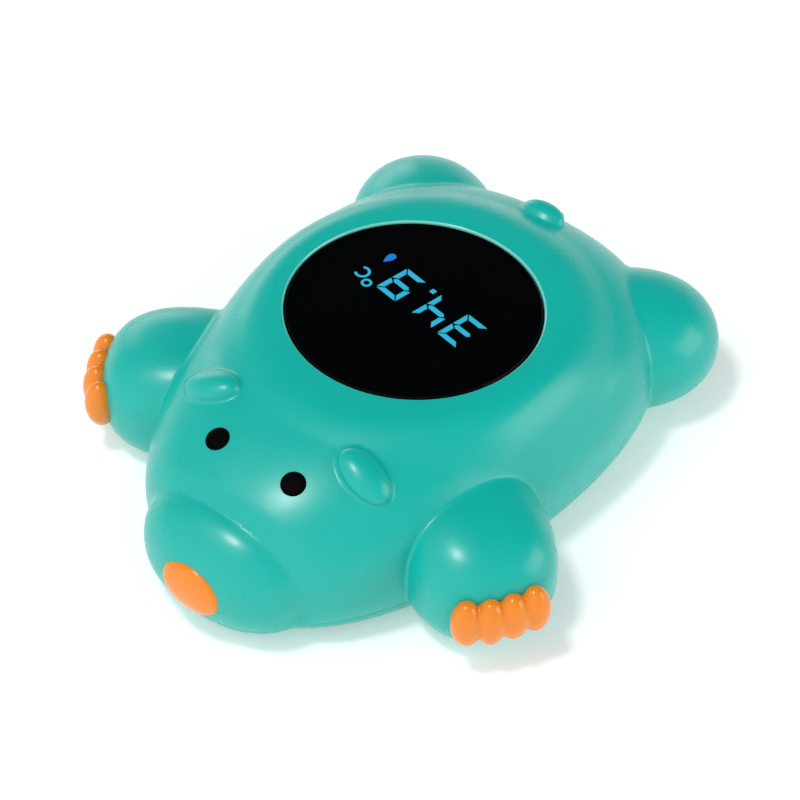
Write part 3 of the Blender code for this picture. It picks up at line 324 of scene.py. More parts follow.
def spread(work, distance, rounds):
    """Evens out the points over the surface, then sets them on it again."""
    work.verts.ensure_lookup_table()
    work.verts.index_update()
    points = np.array([v.co for v in work.verts])
    edges = np.array([(e.verts[0].index, e.verts[1].index) for e in work.edges])
    rim = np.array([v.is_boundary for v in work.verts])
    count = np.zeros(len(points))
    np.add.at(count, edges[:, 0], 1.0)
    np.add.at(count, edges[:, 1], 1.0)
    points[~rim] = settle(distance, points[~rim], 3)
    for _ in range(rounds):
        total = np.zeros_like(points)
        np.add.at(total, edges[:, 0], points[edges[:, 1]])
        np.add.at(total, edges[:, 1], points[edges[:, 0]])
        target = total / count[:, None]
        points[~rim] += 0.5 * (target - points)[~rim]
        points[~rim] = settle(distance, points[~rim], 1)
    points[~rim] = settle(distance, points[~rim], 3)
    for vertex, spot in zip(work.verts, points):
        vertex.co = spot


def trim(work, level, above):
    """Keeps what lies above or below a level."""
    everything = work.verts[:] + work.edges[:] + work.faces[:]
    bmesh.ops.bisect_plane(
        work, geom=everything, plane_co=(0, 0, level), plane_no=(0, 0, 1), dist=1e-6,
        clear_inner=above, clear_outer=not above,
    )


def seam_edge(work, level, above):
    """Turns the open edge on the parting plane inwards over a small round, as a moulded edge is."""
    rim = [e for e in work.edges if e.is_boundary and all(abs(v.co.z - level) < 1e-5 for v in e.verts)]
    sign = -1.0 if above else 1.0
    for inward, lift in SEAM_STEPS:
        made = bmesh.ops.extrude_edge_only(work, edges=rim)["geom"]
        verts = [g for g in made if isinstance(g, bmesh.types.BMVert)]
        points = np.array([v.co for v in verts])
        slope = gradient(form_distance, points)[:, :2]
        slope /= np.maximum(np.linalg.norm(slope, axis=1), 1e-9)[:, None]
        for vertex, out in zip(verts, slope):
            vertex.co.x -= out[0] * inward
            vertex.co.y -= out[1] * inward
            vertex.co.z += sign * lift
        rim = [g for g in made if isinstance(g, bmesh.types.BMEdge)]


def to_object(name, work, surface, angle=32.0):
    bmesh.ops.recalc_face_normals(work, faces=work.faces)
    mesh = bpy.data.meshes.new(name)
    work.to_mesh(mesh)
    work.free()
    made = link(name, mesh)
    mesh.shade_smooth()
    mesh.set_sharp_from_angle(angle=math.radians(angle))
    mesh.materials.append(surface)
    return made


def true_normals(made, distance, reach=0.00008):
    """Shades the points that lie on the form by the form's own slope."""
    mesh = made.data
    points = np.array([v.co for v in mesh.vertices])
    near = np.abs(distance(points)) < reach
    slope = gradient(distance, points, 0.0001)
    slope /= np.maximum(np.linalg.norm(slope, axis=1), 1e-9)[:, None]
    corners = np.zeros((len(mesh.loops), 3))
    index = np.empty(len(mesh.loops), dtype=np.int64)
    mesh.loops.foreach_get("vertex_index", index)
    facing = np.array([f.normal for f in mesh.polygons])
    owner = np.repeat(np.arange(len(mesh.polygons)), [f.loop_total for f in mesh.polygons])
    agree = (facing[owner] * slope[index]).sum(1) > 0.8
    good = near[index] & agree
    corners[good] = slope[index][good]
    mesh.normals_split_custom_set(corners.tolist())


def turned(name, profile, surface, place=None, around=96, angle=32.0):
    """A solid turned about Z from (radius, height) points."""
    work = bmesh.new()
    add_turned(work, profile, place or Matrix(), around)
    return to_object(name, work, surface, angle)


def add_turned(work, profile, place, around=96):
    rings = []
    for radius, height in profile:
        if radius < 1e-7:
            rings.append([work.verts.new(place @ Vector((0.0, 0.0, height)))])
            continue
        rings.append([
            work.verts.new(place @ Vector((
                radius * math.cos(2.0 * math.pi * step / around),
                radius * math.sin(2.0 * math.pi * step / around),
                height,
            )))
            for step in range(around)
        ])
    for low, high in zip(rings, rings[1:]):
        for step in range(around):
            after = (step + 1) % around
            if len(low) == 1 and len(high) == 1:
                continue
            if len(low) == 1:
                work.faces.new((low[0], high[after], high[step]))
            elif len(high) == 1:
                work.faces.new((low[step], low[after], high[0]))
            else:
                work.faces.new((low[step], low[after], high[after], high[step]))


def arc(centre, radius, start, end, steps=6):
    """Points of a round in a profile, the angles in degrees."""
    return [
        (
            centre[0] + radius * math.cos(math.radians(start + (end - start) * step / steps)),
            centre[1] + radius * math.sin(math.radians(start + (end - start) * step / steps)),
        )
        for step in range(steps + 1)
    ]


def at(x, y, z=0.0):
    return Matrix.Translation((x, y, z))


def done(piece, slot_name, *nodes):
    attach(piece, BODY_NAME)
    if nodes:
        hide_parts(*nodes)
    return piece


# Materials

def node(tree, kind, **values):
    made = tree.nodes.new(kind)
    for key, value in values.items():
        setattr(made, key, value)
    return made


def noise(tree, scale, detail=3.0, rough=0.5):
    place = node(tree, "ShaderNodeTexCoord")
    made = node(tree, "ShaderNodeTexNoise")
    made.inputs["Scale"].default_value = scale
    made.inputs["Detail"].default_value = detail
    made.inputs["Roughness"].default_value = rough
    tree.links.new(place.outputs["Object"], made.inputs["Vector"])
    return made


def ramp(tree, source, low, high, colour_a, colour_b):
    made = node(tree, "ShaderNodeValToRGB")
    made.color_ramp.elements[0].position = low
    made.color_ramp.elements[1].position = high
    made.color_ramp.elements[0].color = (*colour_a, 1.0)
    made.color_ramp.elements[1].color = (*colour_b, 1.0)
    tree.links.new(source, made.inputs["Fac"])
    return made


def surface(name, colour, shade=0.94, rough=(0.3, 0.36), metallic=0.0, cloud=40.0, grain=2600.0, bump=0.02,
            specular=0.5):
    """Moulded or bare surface: clouded colour, uneven gloss and a fine grain."""
    made = bpy.data.materials.new(name)
    made.use_nodes = True
    tree = made.node_tree
    shader = tree.nodes["Principled BSDF"]
    shader.inputs["Metallic"].default_value = metallic
    shader.inputs["Specular IOR Level"].default_value = specular
    clouds = noise(tree, cloud)
    darker = tuple(channel * shade for channel in colour)
    tint = ramp(tree, clouds.outputs["Fac"], 0.3, 0.7, darker, colour)
    tree.links.new(tint.outputs["Color"], shader.inputs["Base Color"])
    patches = noise(tree, cloud * 5.0, 4.0, 0.6)
    spread_rough = node(tree, "ShaderNodeMapRange")
    spread_rough.inputs["From Min"].default_value = 0.3
    spread_rough.inputs["From Max"].default_value = 0.7
    spread_rough.inputs["To Min"].default_value = rough[0]
    spread_rough.inputs["To Max"].default_value = rough[1]
    tree.links.new(patches.outputs["Fac"], spread_rough.inputs["Value"])
    tree.links.new(spread_rough.outputs["Result"], shader.inputs["Roughness"])
    fine = noise(tree, grain, 2.0)
    relief = node(tree, "ShaderNodeBump")
    relief.inputs["Strength"].default_value = bump
    relief.inputs["Distance"].default_value = 0.0002
    tree.links.new(fine.outputs["Fac"], relief.inputs["Height"])
    tree.links.new(relief.outputs["Normal"], shader.inputs["Normal"])
    return made


def glow(name, colour, strength):
    made = surface(name, tuple(0.02 * channel for channel in colour), rough=(0.4, 0.5), specular=0.05)
    tree = made.node_tree
    shader = tree.nodes["Principled BSDF"]
    uneven = noise(tree, 900.0)
    tint = ramp(tree, uneven.outputs["Fac"], 0.2, 0.8, tuple(0.86 * channel for channel in colour), colour)
    tree.links.new(tint.outputs["Color"], shader.inputs["Emission Color"])
    shader.inputs["Emission Strength"].default_value = strength
    return made


TEAL = surface(
    "teal_moulding", (0.0015, 0.460, 0.392), 0.965, (0.26, 0.31), grain=420.0, bump=0.003, specular=0.45,
)
# Paler teal for a narrow band of the window rim: the pale colour is a painted highlight, the lower roughness
# is the edge's real gloss
TEAL_RIM_PAINTED_HIGHLIGHT = surface("teal_rim_painted_highlight", (0.200, 0.680, 0.610), 0.965, (0.10, 0.14), bump=0.005, specular=0.8)
ORANGE = surface("orange_moulding", (0.900, 0.258, 0.011), 0.93, (0.18, 0.24), grain=420.0, bump=0.003)
EYE_BLACK = surface("eye_paint", (0.0012, 0.0012, 0.0014), 0.7, (0.45, 0.55), bump=0.01, specular=0.02)
WINDOW_BLACK = surface(
    "smoked_acrylic", (0.0012, 0.0014, 0.0018), 0.8, (0.05, 0.08), cloud=25.0, bump=0.002, specular=0.015,
)
BEVEL_GREY = surface("acrylic_edge", (0.003, 0.0035, 0.004), 0.8, (0.12, 0.2), bump=0.004, specular=0.05)
MODULE_BLACK = surface("display_frame", (0.010, 0.010, 0.011), 0.8, (0.5, 0.6), bump=0.1)
RUBBER = surface("grey_silicone", (0.120, 0.125, 0.130), 0.9, (0.6, 0.75), bump=0.08)
BOARD = surface("green_mask", (0.010, 0.120, 0.045), 0.85, (0.25, 0.4), cloud=220.0, bump=0.05)
STEEL = surface("turned_steel", (0.560, 0.560, 0.550), 0.88, (0.18, 0.30), 1.0, bump=0.05)
SPRING = surface("spring_wire", (0.500, 0.500, 0.480), 0.85, (0.25, 0.38), 1.0, bump=0.06)
CELL = surface("cell_sleeve", (0.020, 0.070, 0.240), 0.85, (0.2, 0.3), cloud=90.0)
DIGITS = glow("lit_digits", (0.030, 0.480, 0.720), 1.0)
DROP = glow("lit_drop", (0.015, 0.215, 0.700), 1.0)

for name, look in (
    ("shell_gasket", RUBBER), ("window_seal", RUBBER), ("cover_gasket", RUBBER), ("probe_seal", RUBBER),
    ("display_module", MODULE_BLACK), ("controller_chip", MODULE_BLACK), ("thermistor", MODULE_BLACK),
    ("main_board", BOARD), ("board_screw_1", STEEL), ("board_screw_2", STEEL), ("board_screw_3", STEEL),
    ("contact_bridge", SPRING), ("contact_positive", SPRING), ("contact_negative", SPRING),
    ("spring_bridge", SPRING), ("spring_negative", SPRING), ("battery_left", CELL), ("battery_right", CELL),
    ("battery_cover", TEAL),
):
    data = NODES[name].data
    data.materials.clear()
    data.materials.append(look)


# The shells: an even skin on the blended form, over the solids' own inner walls

def inner_walls(name, drop):
    """A copy of a shell's solid without the faces that the new skin takes the place of."""
    work = bmesh.new()
    work.from_mesh(NODES[name].data)
    bmesh.ops.remove_doubles(work, verts=work.verts, dist=1e-6)
    work.verts.ensure_lookup_table()
    points = np.array([v.co for v in work.verts])
    depth = form_distance(points)
    spent = [f for f in work.faces if drop(f, [depth[v.index] for v in f.verts])]
    bmesh.ops.delete(work, geom=spent, context="FACES")
    loose = [v for v in work.verts if not v.link_faces]
    bmesh.ops.delete(work, geom=loose, context="VERTS")
    return work


def window_reach(point):
    local = WINDOW_BACK @ point
    return math.hypot(local.x, local.y), local.z


skin = form_mesh("skin", BIG + [one for one, crease in SMALL], form_distance, VOXEL)
lower_work = skin.copy()

# Upper shell: skin above the parting plane, with a round rim turned into the window's pocket, a narrow band
# of it in a paler teal as a painted highlight
trim(skin, PARTING + SEAM, True)
seam_edge(skin, PARTING + SEAM, True)
inside = [
    f for f in skin.faces
    if any(window_reach(v.co)[0] < RIM_OUTER and window_reach(v.co)[1] > RIM_DEPTH for v in f.verts)
]
bmesh.ops.delete(skin, geom=inside, context="FACES")
for vertex in [v for v in skin.verts if v.is_boundary]:
    reach, height = window_reach(vertex.co)
    if reach < RIM_OUTER + 0.002 and height > RIM_DEPTH:
        local = WINDOW_BACK @ vertex.co
        vertex.co = WINDOW @ Vector((local.x * RIM_OUTER / reach, local.y * RIM_OUTER / reach, 0.0))
rim = [(RIM_OUTER + 0.0004, -0.00002), (RIM_OUTER, 0.0)]
rim += arc((POCKET_RADIUS + RIM_ROUND, -RIM_ROUND), RIM_ROUND, 90.0, 180.0, 8)
rim += [(POCKET_RADIUS, LEDGE_TOP)]
add_turned(skin, rim, WINDOW, 192)


def outer_upper(face, depths):
    centre = face.calc_center_median()
    reach, height = window_reach(centre)
    if POCKET_RADIUS - 0.0004 < reach < POCKET_RADIUS + 0.0001 and height > LEDGE_TOP - 0.0001:
        return True
    if all(v.co.z < PARTING + 0.0001 for v in face.verts):
        return False
    return all(depth > OUTER_DEPTH for depth in depths)


add_mesh(skin, inner_walls("upper_shell", outer_upper))
upper = to_object("upper_shell_skin", skin, TEAL)
upper.data.materials.append(TEAL_RIM_PAINTED_HIGHLIGHT)
# The narrow band of faces on the rim's round takes the paler teal, a painted highlight
for polygon in upper.data.polygons:
    reach, height = window_reach(Vector(polygon.center))
    if POCKET_RADIUS + HAIR < reach < POCKET_RADIUS + RIM_PAINTED_HIGHLIGHT_WIDTH and height < HAIR:
        polygon.material_index = 1
true_normals(upper, form_distance)
done(upper, "teal_plastic", "upper_shell")

# Lower shell: the side band, a flat belly with chamfered openings, and the solid's inner walls
trim(lower_work, PARTING - SEAM, False)
seam_edge(lower_work, PARTING - SEAM, False)
under = [f for f in lower_work.faces if all(v.co.z < FLAT for v in f.verts)]
bmesh.ops.delete(lower_work, geom=under, context="FACES")


def outer_lower(face, depths):
    return all(depth > OUTER_DEPTH for depth in depths) and any(v.co.z > BELLY_CHAMFER for v in face.verts)


lower_inner = inner_walls("lower_shell", outer_lower)
points = np.array([v.co for v in lower_inner.verts])
raised = points + np.array([0.0, 0.0, BELLY_PROBE])
outline = (np.abs(form_distance(raised)) < BELLY_BAND) & (points[:, 2] < HAIR)
slope = gradient(form_distance, raised)[:, :2]
slope /= np.maximum(np.linalg.norm(slope, axis=1), 1e-9)[:, None]
for vertex, edge, out in zip(lower_inner.verts, outline, slope):
    if edge:
        vertex.co.x -= out[0] * BELLY_TUCK
        vertex.co.y -= out[1] * BELLY_TUCK
add_mesh(lower_work, lower_inner)
lower = to_object("lower_shell_skin", lower_work, TEAL)
true_normals(lower, form_distance)
done(lower, "teal_plastic", "lower_shell")

# Window: a polished disc with a bevelled edge, its digits lit from behind
WINDOW_BEVEL = 0.0003
WINDOW_ROUND = 0.0002

window_profile = [
    (0.0, WINDOW_BOTTOM),
    (WINDOW_RADIUS - WINDOW_ROUND, WINDOW_BOTTOM),
    (WINDOW_RADIUS, WINDOW_BOTTOM + WINDOW_ROUND),
    (WINDOW_RADIUS, WINDOW_TOP - WINDOW_ROUND),
    (WINDOW_RADIUS - 0.5 * WINDOW_BEVEL, WINDOW_TOP - 0.00003),
    (WINDOW_RADIUS - WINDOW_BEVEL, WINDOW_TOP),
    (0.0, WINDOW_TOP),
]
glass = turned("window_disc", window_profile, WINDOW_BLACK, WINDOW, 192, 20.0)
glass.data.materials.append(BEVEL_GREY)
for polygon in glass.data.polygons:
    reach, height = window_reach(Vector(polygon.center))
    if reach > WINDOW_RADIUS - WINDOW_BEVEL:
        polygon.material_index = 1
done(glass, "smoked_window", "display_window")


def flat_piece(name, outlines, look, level=WINDOW_TOP + 0.00002, thick=0.00006):
    """Thin plates over (x, y) outlines on the window."""
    work = bmesh.new()
    for outline_points in outlines:
        low = [work.verts.new(WINDOW @ Vector((x, y, level - thick))) for x, y in outline_points]
        high = [work.verts.new(WINDOW @ Vector((x, y, level))) for x, y in outline_points]
        work.faces.new(high)
        work.faces.new(list(reversed(low)))
        for step in range(len(low)):
            after = (step + 1) % len(low)
            work.faces.new((low[step], low[after], high[after], high[step]))
    made = to_object(name, work, look)
    return done(made, "smoked_window")


DIGIT_HALF_WIDTH = 0.0028
DIGIT_HALF_HEIGHT = 0.0041
BAR = 0.00112
BAR_GAP = 0.00020
DOT_HALF = 0.00055
DOT_PIXEL = (433.1, 291.5)
RING_PIXEL = (366.5, 282.7)
RING = (0.00115, 0.00062)
LETTER_PIXEL = (362.5, 271.8)
LETTER = (0.00165, 0.00108)
DROP_PIXEL = (389.3, 258.3)
DROP_WIDTH = 0.00095
DROP_HALF_HEIGHT = 0.0016
DROP_STEPS = 24
TEXT_TURN = math.radians(-10.5)


def page(column, row):
    """A point of the text plane: columns run to the reader's right, rows up."""
    across = column * math.cos(TEXT_TURN) - row * math.sin(TEXT_TURN)
    above = column * math.sin(TEXT_TURN) + row * math.cos(TEXT_TURN)
    return (-across, -above)


def bar_outline(name):
    """One bar of a digit about the digit's centre, mitred where it meets the next."""
    w, h, t, g = DIGIT_HALF_WIDTH, DIGIT_HALF_HEIGHT, BAR, BAR_GAP
    if name == "middle":
        left, inner, half = 0.55 * t - w, 1.1 * t - w, 0.5 * t
        return [(left, 0.0), (inner, half), (-inner, half), (-left, 0.0), (-inner, -half), (inner, -half)]
    if name in ("top", "bottom"):
        sign = 1.0 if name == "top" else -1.0
        corners = [(g - w, h), (w - g, h), (w - t - g, h - t), (t + g - w, h - t)]
        return [(x, sign * y) for x, y in corners]
    rise = 1.0 if "upper" in name else -1.0
    side = 1.0 if "right" in name else -1.0
    corners = [(w, 0.6 * g), (w, h - g), (w - t, h - t - g), (w - t, 0.5 * t + g)]
    return [(side * x, rise * y) for x, y in corners]


THREE = ("top", "upper_right", "middle", "lower_right", "bottom")
FOUR = ("upper_left", "upper_right", "middle", "lower_right")
NINE = ("top", "upper_left", "upper_right", "middle", "lower_right", "bottom")
READING = ((THREE, (-0.01120, -0.00074)), (FOUR, (-0.00391, -0.00194)), (NINE, (0.00603, -0.00361)))
SQUARE = ((-1, -1), (1, -1), (1, 1), (-1, 1))


def digit(names, column, row):
    return [[page(column + x, row + y) for x, y in bar_outline(name)] for name in names]


# Camera at the photograph's angle

CAMERA_PLACE = Vector((0.254405, -0.319018, 0.436261))
TURN = math.radians(38.32)
RISE = math.radians(45.99)
RIGHT = Vector((math.cos(TURN), math.sin(TURN), 0.0))
UP = Vector((-math.sin(TURN) * math.sin(RISE), math.cos(TURN) * math.sin(RISE), math.cos(RISE)))
BACK = Vector((math.sin(TURN) * math.cos(RISE), -math.cos(TURN) * math.cos(RISE), math.sin(RISE)))
FOCAL = 2980.63
SENSOR = 36.0
PICTURE_WIDTH = 800.0


def on_window(u, v):
    """The point of the window's plane, in its own x and y, that lies at a pixel of the picture."""
    half = 0.5 * PICTURE_WIDTH
    ray = RIGHT * ((u - half) / FOCAL) + UP * ((half - v) / FOCAL) - BACK
    start = WINDOW_BACK @ CAMERA_PLACE
    turn_back = WINDOW_BACK.to_3x3() @ ray
    share = (WINDOW_TOP - start.z) / turn_back.z
    return start.x + turn_back.x * share, start.y + turn_back.y * share


def text_spot(u, v):
    x, y = on_window(u, v)
    column = -x * math.cos(TEXT_TURN) - y * math.sin(TEXT_TURN)
    row = x * math.sin(TEXT_TURN) - y * math.cos(TEXT_TURN)
    return column, row


def turned_back(x, y):
    """From the window's reader frame, in metres, to the text's own columns and rows."""
    column = x * math.cos(TEXT_TURN) + y * math.sin(TEXT_TURN)
    return column, y * math.cos(TEXT_TURN) - x * math.sin(TEXT_TURN)


outlines = []
for names, spot in READING:
    outlines += digit(names, *turned_back(*spot))
dot = text_spot(*DOT_PIXEL)
outlines.append([page(dot[0] + x * DOT_HALF, dot[1] + y * DOT_HALF) for x, y in SQUARE])


def ring_outlines(centre, outer, inner, start, end, steps):
    """A ring or an open arc, as short plates end to end."""
    plates = []
    for step in range(steps):
        a = math.radians(start + (end - start) * step / steps)
        b = math.radians(start + (end - start) * (step + 1) / steps)
        corners = [(outer, a), (outer, b), (inner, b), (inner, a)]
        plates.append([page(centre[0] + r * math.cos(t), centre[1] + r * math.sin(t)) for r, t in corners])
    return plates


outlines += ring_outlines(text_spot(*RING_PIXEL), *RING, 0.0, 360.0, 16)
outlines += ring_outlines(text_spot(*LETTER_PIXEL), *LETTER, 50.0, 310.0, 16)
flat_piece("lit_digits", outlines, DIGITS)
drop_centre = text_spot(*DROP_PIXEL)
drop = []
for step in range(DROP_STEPS):
    angle = 2.0 * math.pi * step / DROP_STEPS
    width = DROP_WIDTH * math.sin(angle) * math.sin(0.5 * angle) ** 1.2
    drop.append(page(drop_centre[0] + width * 1.25, drop_centre[1] + DROP_HALF_HEIGHT * math.cos(angle)))
flat_piece("lit_drop", [drop], DROP)

# Eyes: low domes let into the head
EYE_PLACE = (0.0092, -0.0405, 0.0304)
EYE_RADIUS = 0.00245
EYE_DEPTH = -0.0012

for name, side in (("eye_left", 1), ("eye_right", -1)):
    spot = settle(form_distance, np.array([paired(EYE_PLACE, side)]), 6)
    out = Vector(gradient(form_distance, spot)[0]).normalized()
    place = Matrix.Translation(Vector(spot[0])) @ out.to_track_quat("Z", "Y").to_matrix().to_4x4()
    dome = [(0.0, EYE_DEPTH), (EYE_RADIUS, EYE_DEPTH), (EYE_RADIUS, -0.00002)]
    dome += arc((EYE_RADIUS - 0.0002, 0.0), 0.0002, 0.0, 80.0, 4)
    dome += [(0.0018, 0.00028), (0.0011, 0.00036), (0.0005, 0.00039), (0.0, 0.0004)]
    eye = turned(name + "_dome", dome, EYE_BLACK, place, 64, 40.0)
    done(eye, "black_plastic", name)

# Nose: an oval pad that follows the muzzle, with a rounded edge
NOSE_HALF = (0.0068, 0.0057)
NOSE_LEVEL = 0.0121
NOSE_FRONT = -0.0595
NOSE_DOME = 0.0009
NOSE_STAND = 0.00030
NOSE_SINK = -0.0010
NOSE_RINGS = 24


def nose_distance(points):
    return lobe_distance(MUZZLE, points)


work = bmesh.new()
steps = 96
edge_profile = []
for share in [ring / NOSE_RINGS for ring in range(NOSE_RINGS + 1)]:
    edge = max(0.0, (share - 0.9) / 0.1)
    crown = NOSE_DOME * math.sqrt(max(0.0, 1.0 - (share / 0.96) ** 2))
    stand = NOSE_STAND * math.sqrt(max(0.0, 1.0 - edge * edge))
    edge_profile.append((share, crown + stand - 0.0002 * (edge >= 1.0)))
edge_profile += [(1.0, NOSE_SINK)]
spots = []
lifts = []
for share, lift in edge_profile[1:]:
    for step in range(steps):
        angle = 2.0 * math.pi * step / steps
        across = NOSE_HALF[0] * share * math.cos(angle)
        spots.append((across, NOSE_FRONT, NOSE_LEVEL + NOSE_HALF[1] * share * math.sin(angle)))
        lifts.append(lift)
spots.append((0.0, NOSE_FRONT, NOSE_LEVEL))
lifts.append(NOSE_DOME + NOSE_STAND)
spots = np.array(spots)
for _ in range(14):
    slope = gradient(nose_distance, spots)
    spots[:, 1] -= nose_distance(spots) / np.minimum(slope[:, 1], -0.2)
slope = gradient(nose_distance, spots)
slope /= np.linalg.norm(slope, axis=1)[:, None]
spots += slope * np.array(lifts)[:, None]
verts = [work.verts.new(spot) for spot in spots]
for ring in range(len(edge_profile) - 2):
    for step in range(steps):
        after = (step + 1) % steps
        work.faces.new((
            verts[ring * steps + step], verts[ring * steps + after],
            verts[(ring + 1) * steps + after], verts[(ring + 1) * steps + step],
        ))
for step in range(steps):
    work.faces.new((verts[-1], verts[(step + 1) % steps], verts[step]))
last = (len(edge_profile) - 2) * steps
work.faces.new([verts[last + step] for step in range(steps)])
nose = to_object("nose_pad", work, ORANGE, 50.0)
done(nose, "orange_plastic", "nose")

# Toes: four upright pads on each arm, grown together
TOE_BOTTOM = 0.0067
TOE_HALF = (0.0031, 0.0031, 0.0055)
TOE_COUNT = 4
TOE_HEADING = math.radians(-34.5)
TOE_SPREAD = math.radians(31.0)
TOE_STANDOFF = 0.0006
TOE_CREASE = 0.0007


def toe_lobes(side):
    found = []
    for count in range(TOE_COUNT):
        share = count / (TOE_COUNT - 1.0) - 0.5
        heading = mirrored(TOE_HEADING + share * TOE_SPREAD, side)
        outward = np.array([math.cos(heading), math.sin(heading), 0.0])
        base = arm(side)
        probe = base["centre"] + outward * 0.02
        for _ in range(20):
            probe = probe - outward * lobe_distance(base, probe[None, :])[0]
        centre = probe + outward * TOE_STANDOFF
        centre[2] = TOE_BOTTOM + TOE_HALF[2]
        found.append(ball(tuple(centre), TOE_HALF, heading))
    return found


for name, side in (("toe_cap_left", 1), ("toe_cap_right", -1)):
    pads = toe_lobes(side)

    def toe_distance(points):
        found = lobe_distance(pads[0], points)
        for pad in pads[1:]:
            found = soft_min(found, lobe_distance(pad, points), TOE_CREASE)
        return found

    work = form_mesh(name + "_pads", pads, toe_distance, TOE_VOXEL)
    toes = to_object(name + "_pads", work, ORANGE)
    true_normals(toes, toe_distance)
    done(toes, "orange_plastic", name)


# Screws with a cross recess, the probe and the water contacts

def cross_screw(name, radius, height, shank, length, place):
    """A pan head with a cross recess, its seat at height 0 and its point up."""
    profile = [(0.0, -height)]
    profile += [(radius * 0.55, -height * 0.99)]
    profile += arc((radius - height * 0.62, -height * 0.38), height * 0.62, -78.0, 0.0, 6)
    profile += [(radius, 0.0), (shank, 0.0), (shank, length - shank), (0.0, length)]
    made = turned(name + "_head", profile, STEEL, Matrix(), 64, 30.0)
    wing = radius * 0.62
    for turn in (0.0, 90.0):
        cutter = bmesh.new()
        bmesh.ops.create_cube(cutter, size=1.0)
        for vertex in cutter.verts:
            narrow = 0.45 if vertex.co.z > 0.0 else 1.0
            vertex.co.x *= 2.0 * wing * narrow
            vertex.co.y *= radius * 0.26 * (0.7 if vertex.co.z > 0.0 else 1.0)
            vertex.co.z = -height * 1.3 if vertex.co.z < 0.0 else -height * 0.3
        cutter.transform(Matrix.Rotation(math.radians(turn + 20.0), 4, "Z"))
        tool = to_object(name + "_slot", cutter, STEEL)
        modifier = made.modifiers.new("slot", "BOOLEAN")
        modifier.operation = "DIFFERENCE"
        modifier.solver = "EXACT"
        modifier.object = tool
        bpy.context.view_layer.update()
        graph = bpy.context.evaluated_depsgraph_get()
        result = bpy.data.meshes.new_from_object(made.evaluated_get(graph))
        made.modifiers.clear()
        made.data = result
        bpy.data.objects.remove(tool)
    made.data.transform(place)
    made.data.materials.clear()
    made.data.materials.append(STEEL)
    made.data.set_sharp_from_angle(angle=math.radians(30.0))
    return done(made, "steel", name)


SCREW_HEAD = 0.0025
SCREW_HEIGHT = 0.0018
SCREW_SHANK = 0.0011
SCREW_LENGTH = 0.0100
SCREW_SEAT = 0.0033
COVER_SCREW_HEAD = 0.0017
COVER_SCREW_HEIGHT = 0.00105
COVER_SCREW_SHANK = 0.0008
PROBE_RADIUS = 0.0050
PROBE_FLANGE = 0.0007
PROBE_BORE = 0.0029

for count, (x, y) in enumerate(POSTS, 1):
    seat = at(x, y, SCREW_SEAT)
    cross_screw("shell_screw_%d" % count, SCREW_HEAD, SCREW_HEIGHT, SCREW_SHANK, SCREW_LENGTH, seat)
for count in (1, 2):
    low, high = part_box("cover_screw_%d" % count)
    middle = 0.5 * (low + high)
    length = high.z - low.z - COVER_SCREW_HEIGHT
    seat = at(middle.x, middle.y, low.z + COVER_SCREW_HEIGHT)
    name = "cover_screw_%d" % count
    cross_screw(name, COVER_SCREW_HEAD, COVER_SCREW_HEIGHT, COVER_SCREW_SHANK, length, seat)

low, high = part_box("probe_cap")
tip = [(0.0, 0.0007), (0.0010, 0.00074)] + arc((0.0018, 0.0023), 0.0016, -80.0, 0.0, 10)
tip += [(0.0034, high.z - PROBE_FLANGE), (PROBE_RADIUS, high.z - PROBE_FLANGE), (PROBE_RADIUS, high.z)]
tip += [(PROBE_BORE, high.z), (PROBE_BORE, 0.0026), (0.0024, 0.0015), (0.0, 0.0012)]
probe = turned("probe_shell", tip, STEEL, at(*PROBE), 96, 40.0)
done(probe, "steel", "probe_cap")
for name, (x, y) in zip(("water_contact_left", "water_contact_right"), PINS):
    low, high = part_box(name)
    dome = [(0.0, low.z), (0.0012, low.z + 0.00004)] + arc((0.0016, low.z + 0.0004), 0.0004, -70.0, 0.0, 5)
    dome += [(0.0020, low.z + 0.0008), (0.0009, low.z + 0.0008), (0.0009, high.z - 0.0002)]
    dome += [(0.0007, high.z), (0.0, high.z)]
    done(turned(name + "_pin", dome, STEEL, at(x, y), 48, 40.0), "steel", name)

# Floor, light and camera

FLOOR_HALF = 3.0
FLOOR_LEVEL = -0.0002
FLOOR_GLOW = 0.24
floor_mesh = bpy.data.meshes.new("floor")
floor_mesh.from_pydata([(x * FLOOR_HALF, y * FLOOR_HALF, FLOOR_LEVEL) for x, y in SQUARE], [], [(0, 1, 2, 3)])
floor = link("floor", floor_mesh)
PALE = surface(
    "pale_floor", (0.94, 0.94, 0.94), 0.99, (0.7, 0.8), cloud=3.0, grain=400.0, bump=0.02, specular=0.1,
)
floor.data.materials.append(PALE)
lit = PALE.node_tree.nodes["Principled BSDF"]
lit.inputs["Emission Color"].default_value = (1.0, 1.0, 1.0, 1.0)
lit.inputs["Emission Strength"].default_value = FLOOR_GLOW


LIGHT_TARGET = Vector((0.0, 0.0, 0.01))


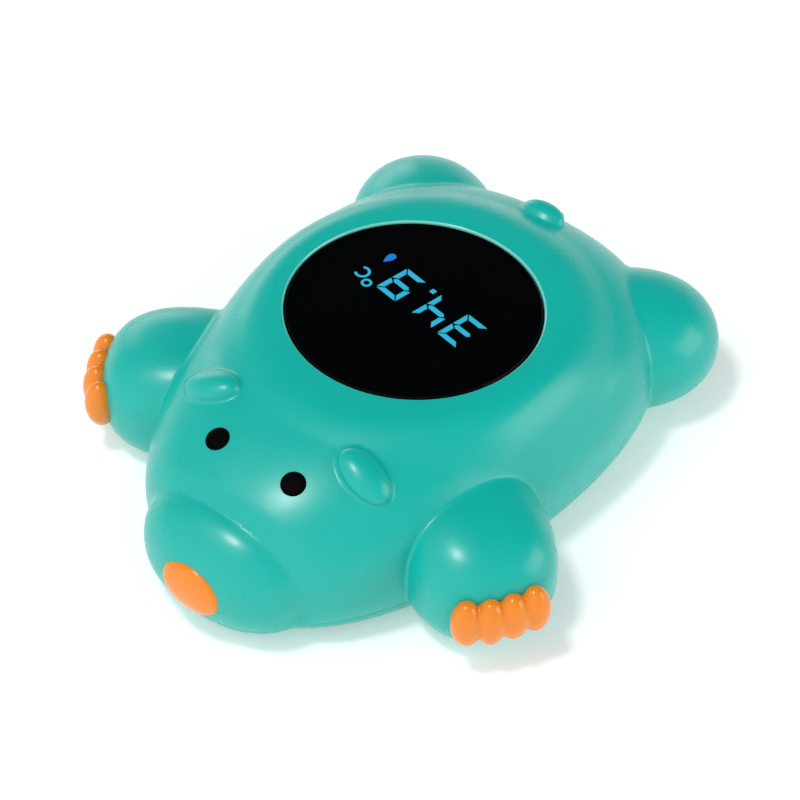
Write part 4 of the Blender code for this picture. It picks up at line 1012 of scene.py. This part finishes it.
def soft_light(name, place, width, height, power):
    data = bpy.data.lights.new(name, "AREA")
    data.shape = "RECTANGLE"
    data.size = width
    data.size_y = height
    data.energy = power
    made = bpy.data.objects.new(name, data)
    bpy.context.scene.collection.objects.link(made)
    made.location = place
    made.rotation_euler = (LIGHT_TARGET - Vector(place)).to_track_quat("-Z", "Y").to_euler()
    return made


soft_light("key", (-0.13, -0.28, 0.95), 0.15, 0.15, 3.0)
soft_light("sky", (-0.16, -0.42, 0.95), 0.60, 0.60, 1.2)
soft_light("side_right", (0.97, 0.56, 0.40), 0.80, 0.60, 4.4)
soft_light("side_left", (-1.00, 0.58, 0.30), 0.70, 0.45, 2.0)
world = bpy.data.worlds.new("studio")
world.use_nodes = True
sky = world.node_tree
where = node(sky, "ShaderNodeTexCoord")
split = node(sky, "ShaderNodeSeparateXYZ")
sky.links.new(where.outputs["Generated"], split.inputs["Vector"])


def slide(source, start, end, at_start, at_end):
    """A strength that runs from one value to another along a direction."""
    made = node(sky, "ShaderNodeMapRange")
    for name, value in (("From Min", start), ("From Max", end), ("To Min", at_start), ("To Max", at_end)):
        made.inputs[name].default_value = value
    sky.links.new(source, made.inputs["Value"])
    return made


front = slide(split.outputs["Y"], 0.35, -0.9, 0.12, 1.05)
horizon = slide(split.outputs["Z"], 0.02, 0.34, 0.95, 0.0)
brighter = node(sky, "ShaderNodeMath", operation="MAXIMUM")
sky.links.new(front.outputs["Result"], brighter.inputs[0])
sky.links.new(horizon.outputs["Result"], brighter.inputs[1])
sky.links.new(brighter.outputs["Value"], sky.nodes["Background"].inputs["Strength"])
sky.nodes["Background"].inputs["Color"].default_value = (1.0, 1.0, 1.0, 1.0)
bpy.context.scene.world = world
bpy.context.scene.view_settings.view_transform = "Standard"

camera_data = bpy.data.cameras.new("camera")
camera_data.sensor_width = SENSOR
camera_data.lens = FOCAL * SENSOR / PICTURE_WIDTH
camera_data.clip_start = 0.05
camera = bpy.data.objects.new("camera", camera_data)
bpy.context.scene.collection.objects.link(camera)
rotation = Matrix((RIGHT, UP, BACK)).transposed()
camera.matrix_world = Matrix.Translation(CAMERA_PLACE) @ rotation.to_4x4()
bpy.context.scene.camera = camera
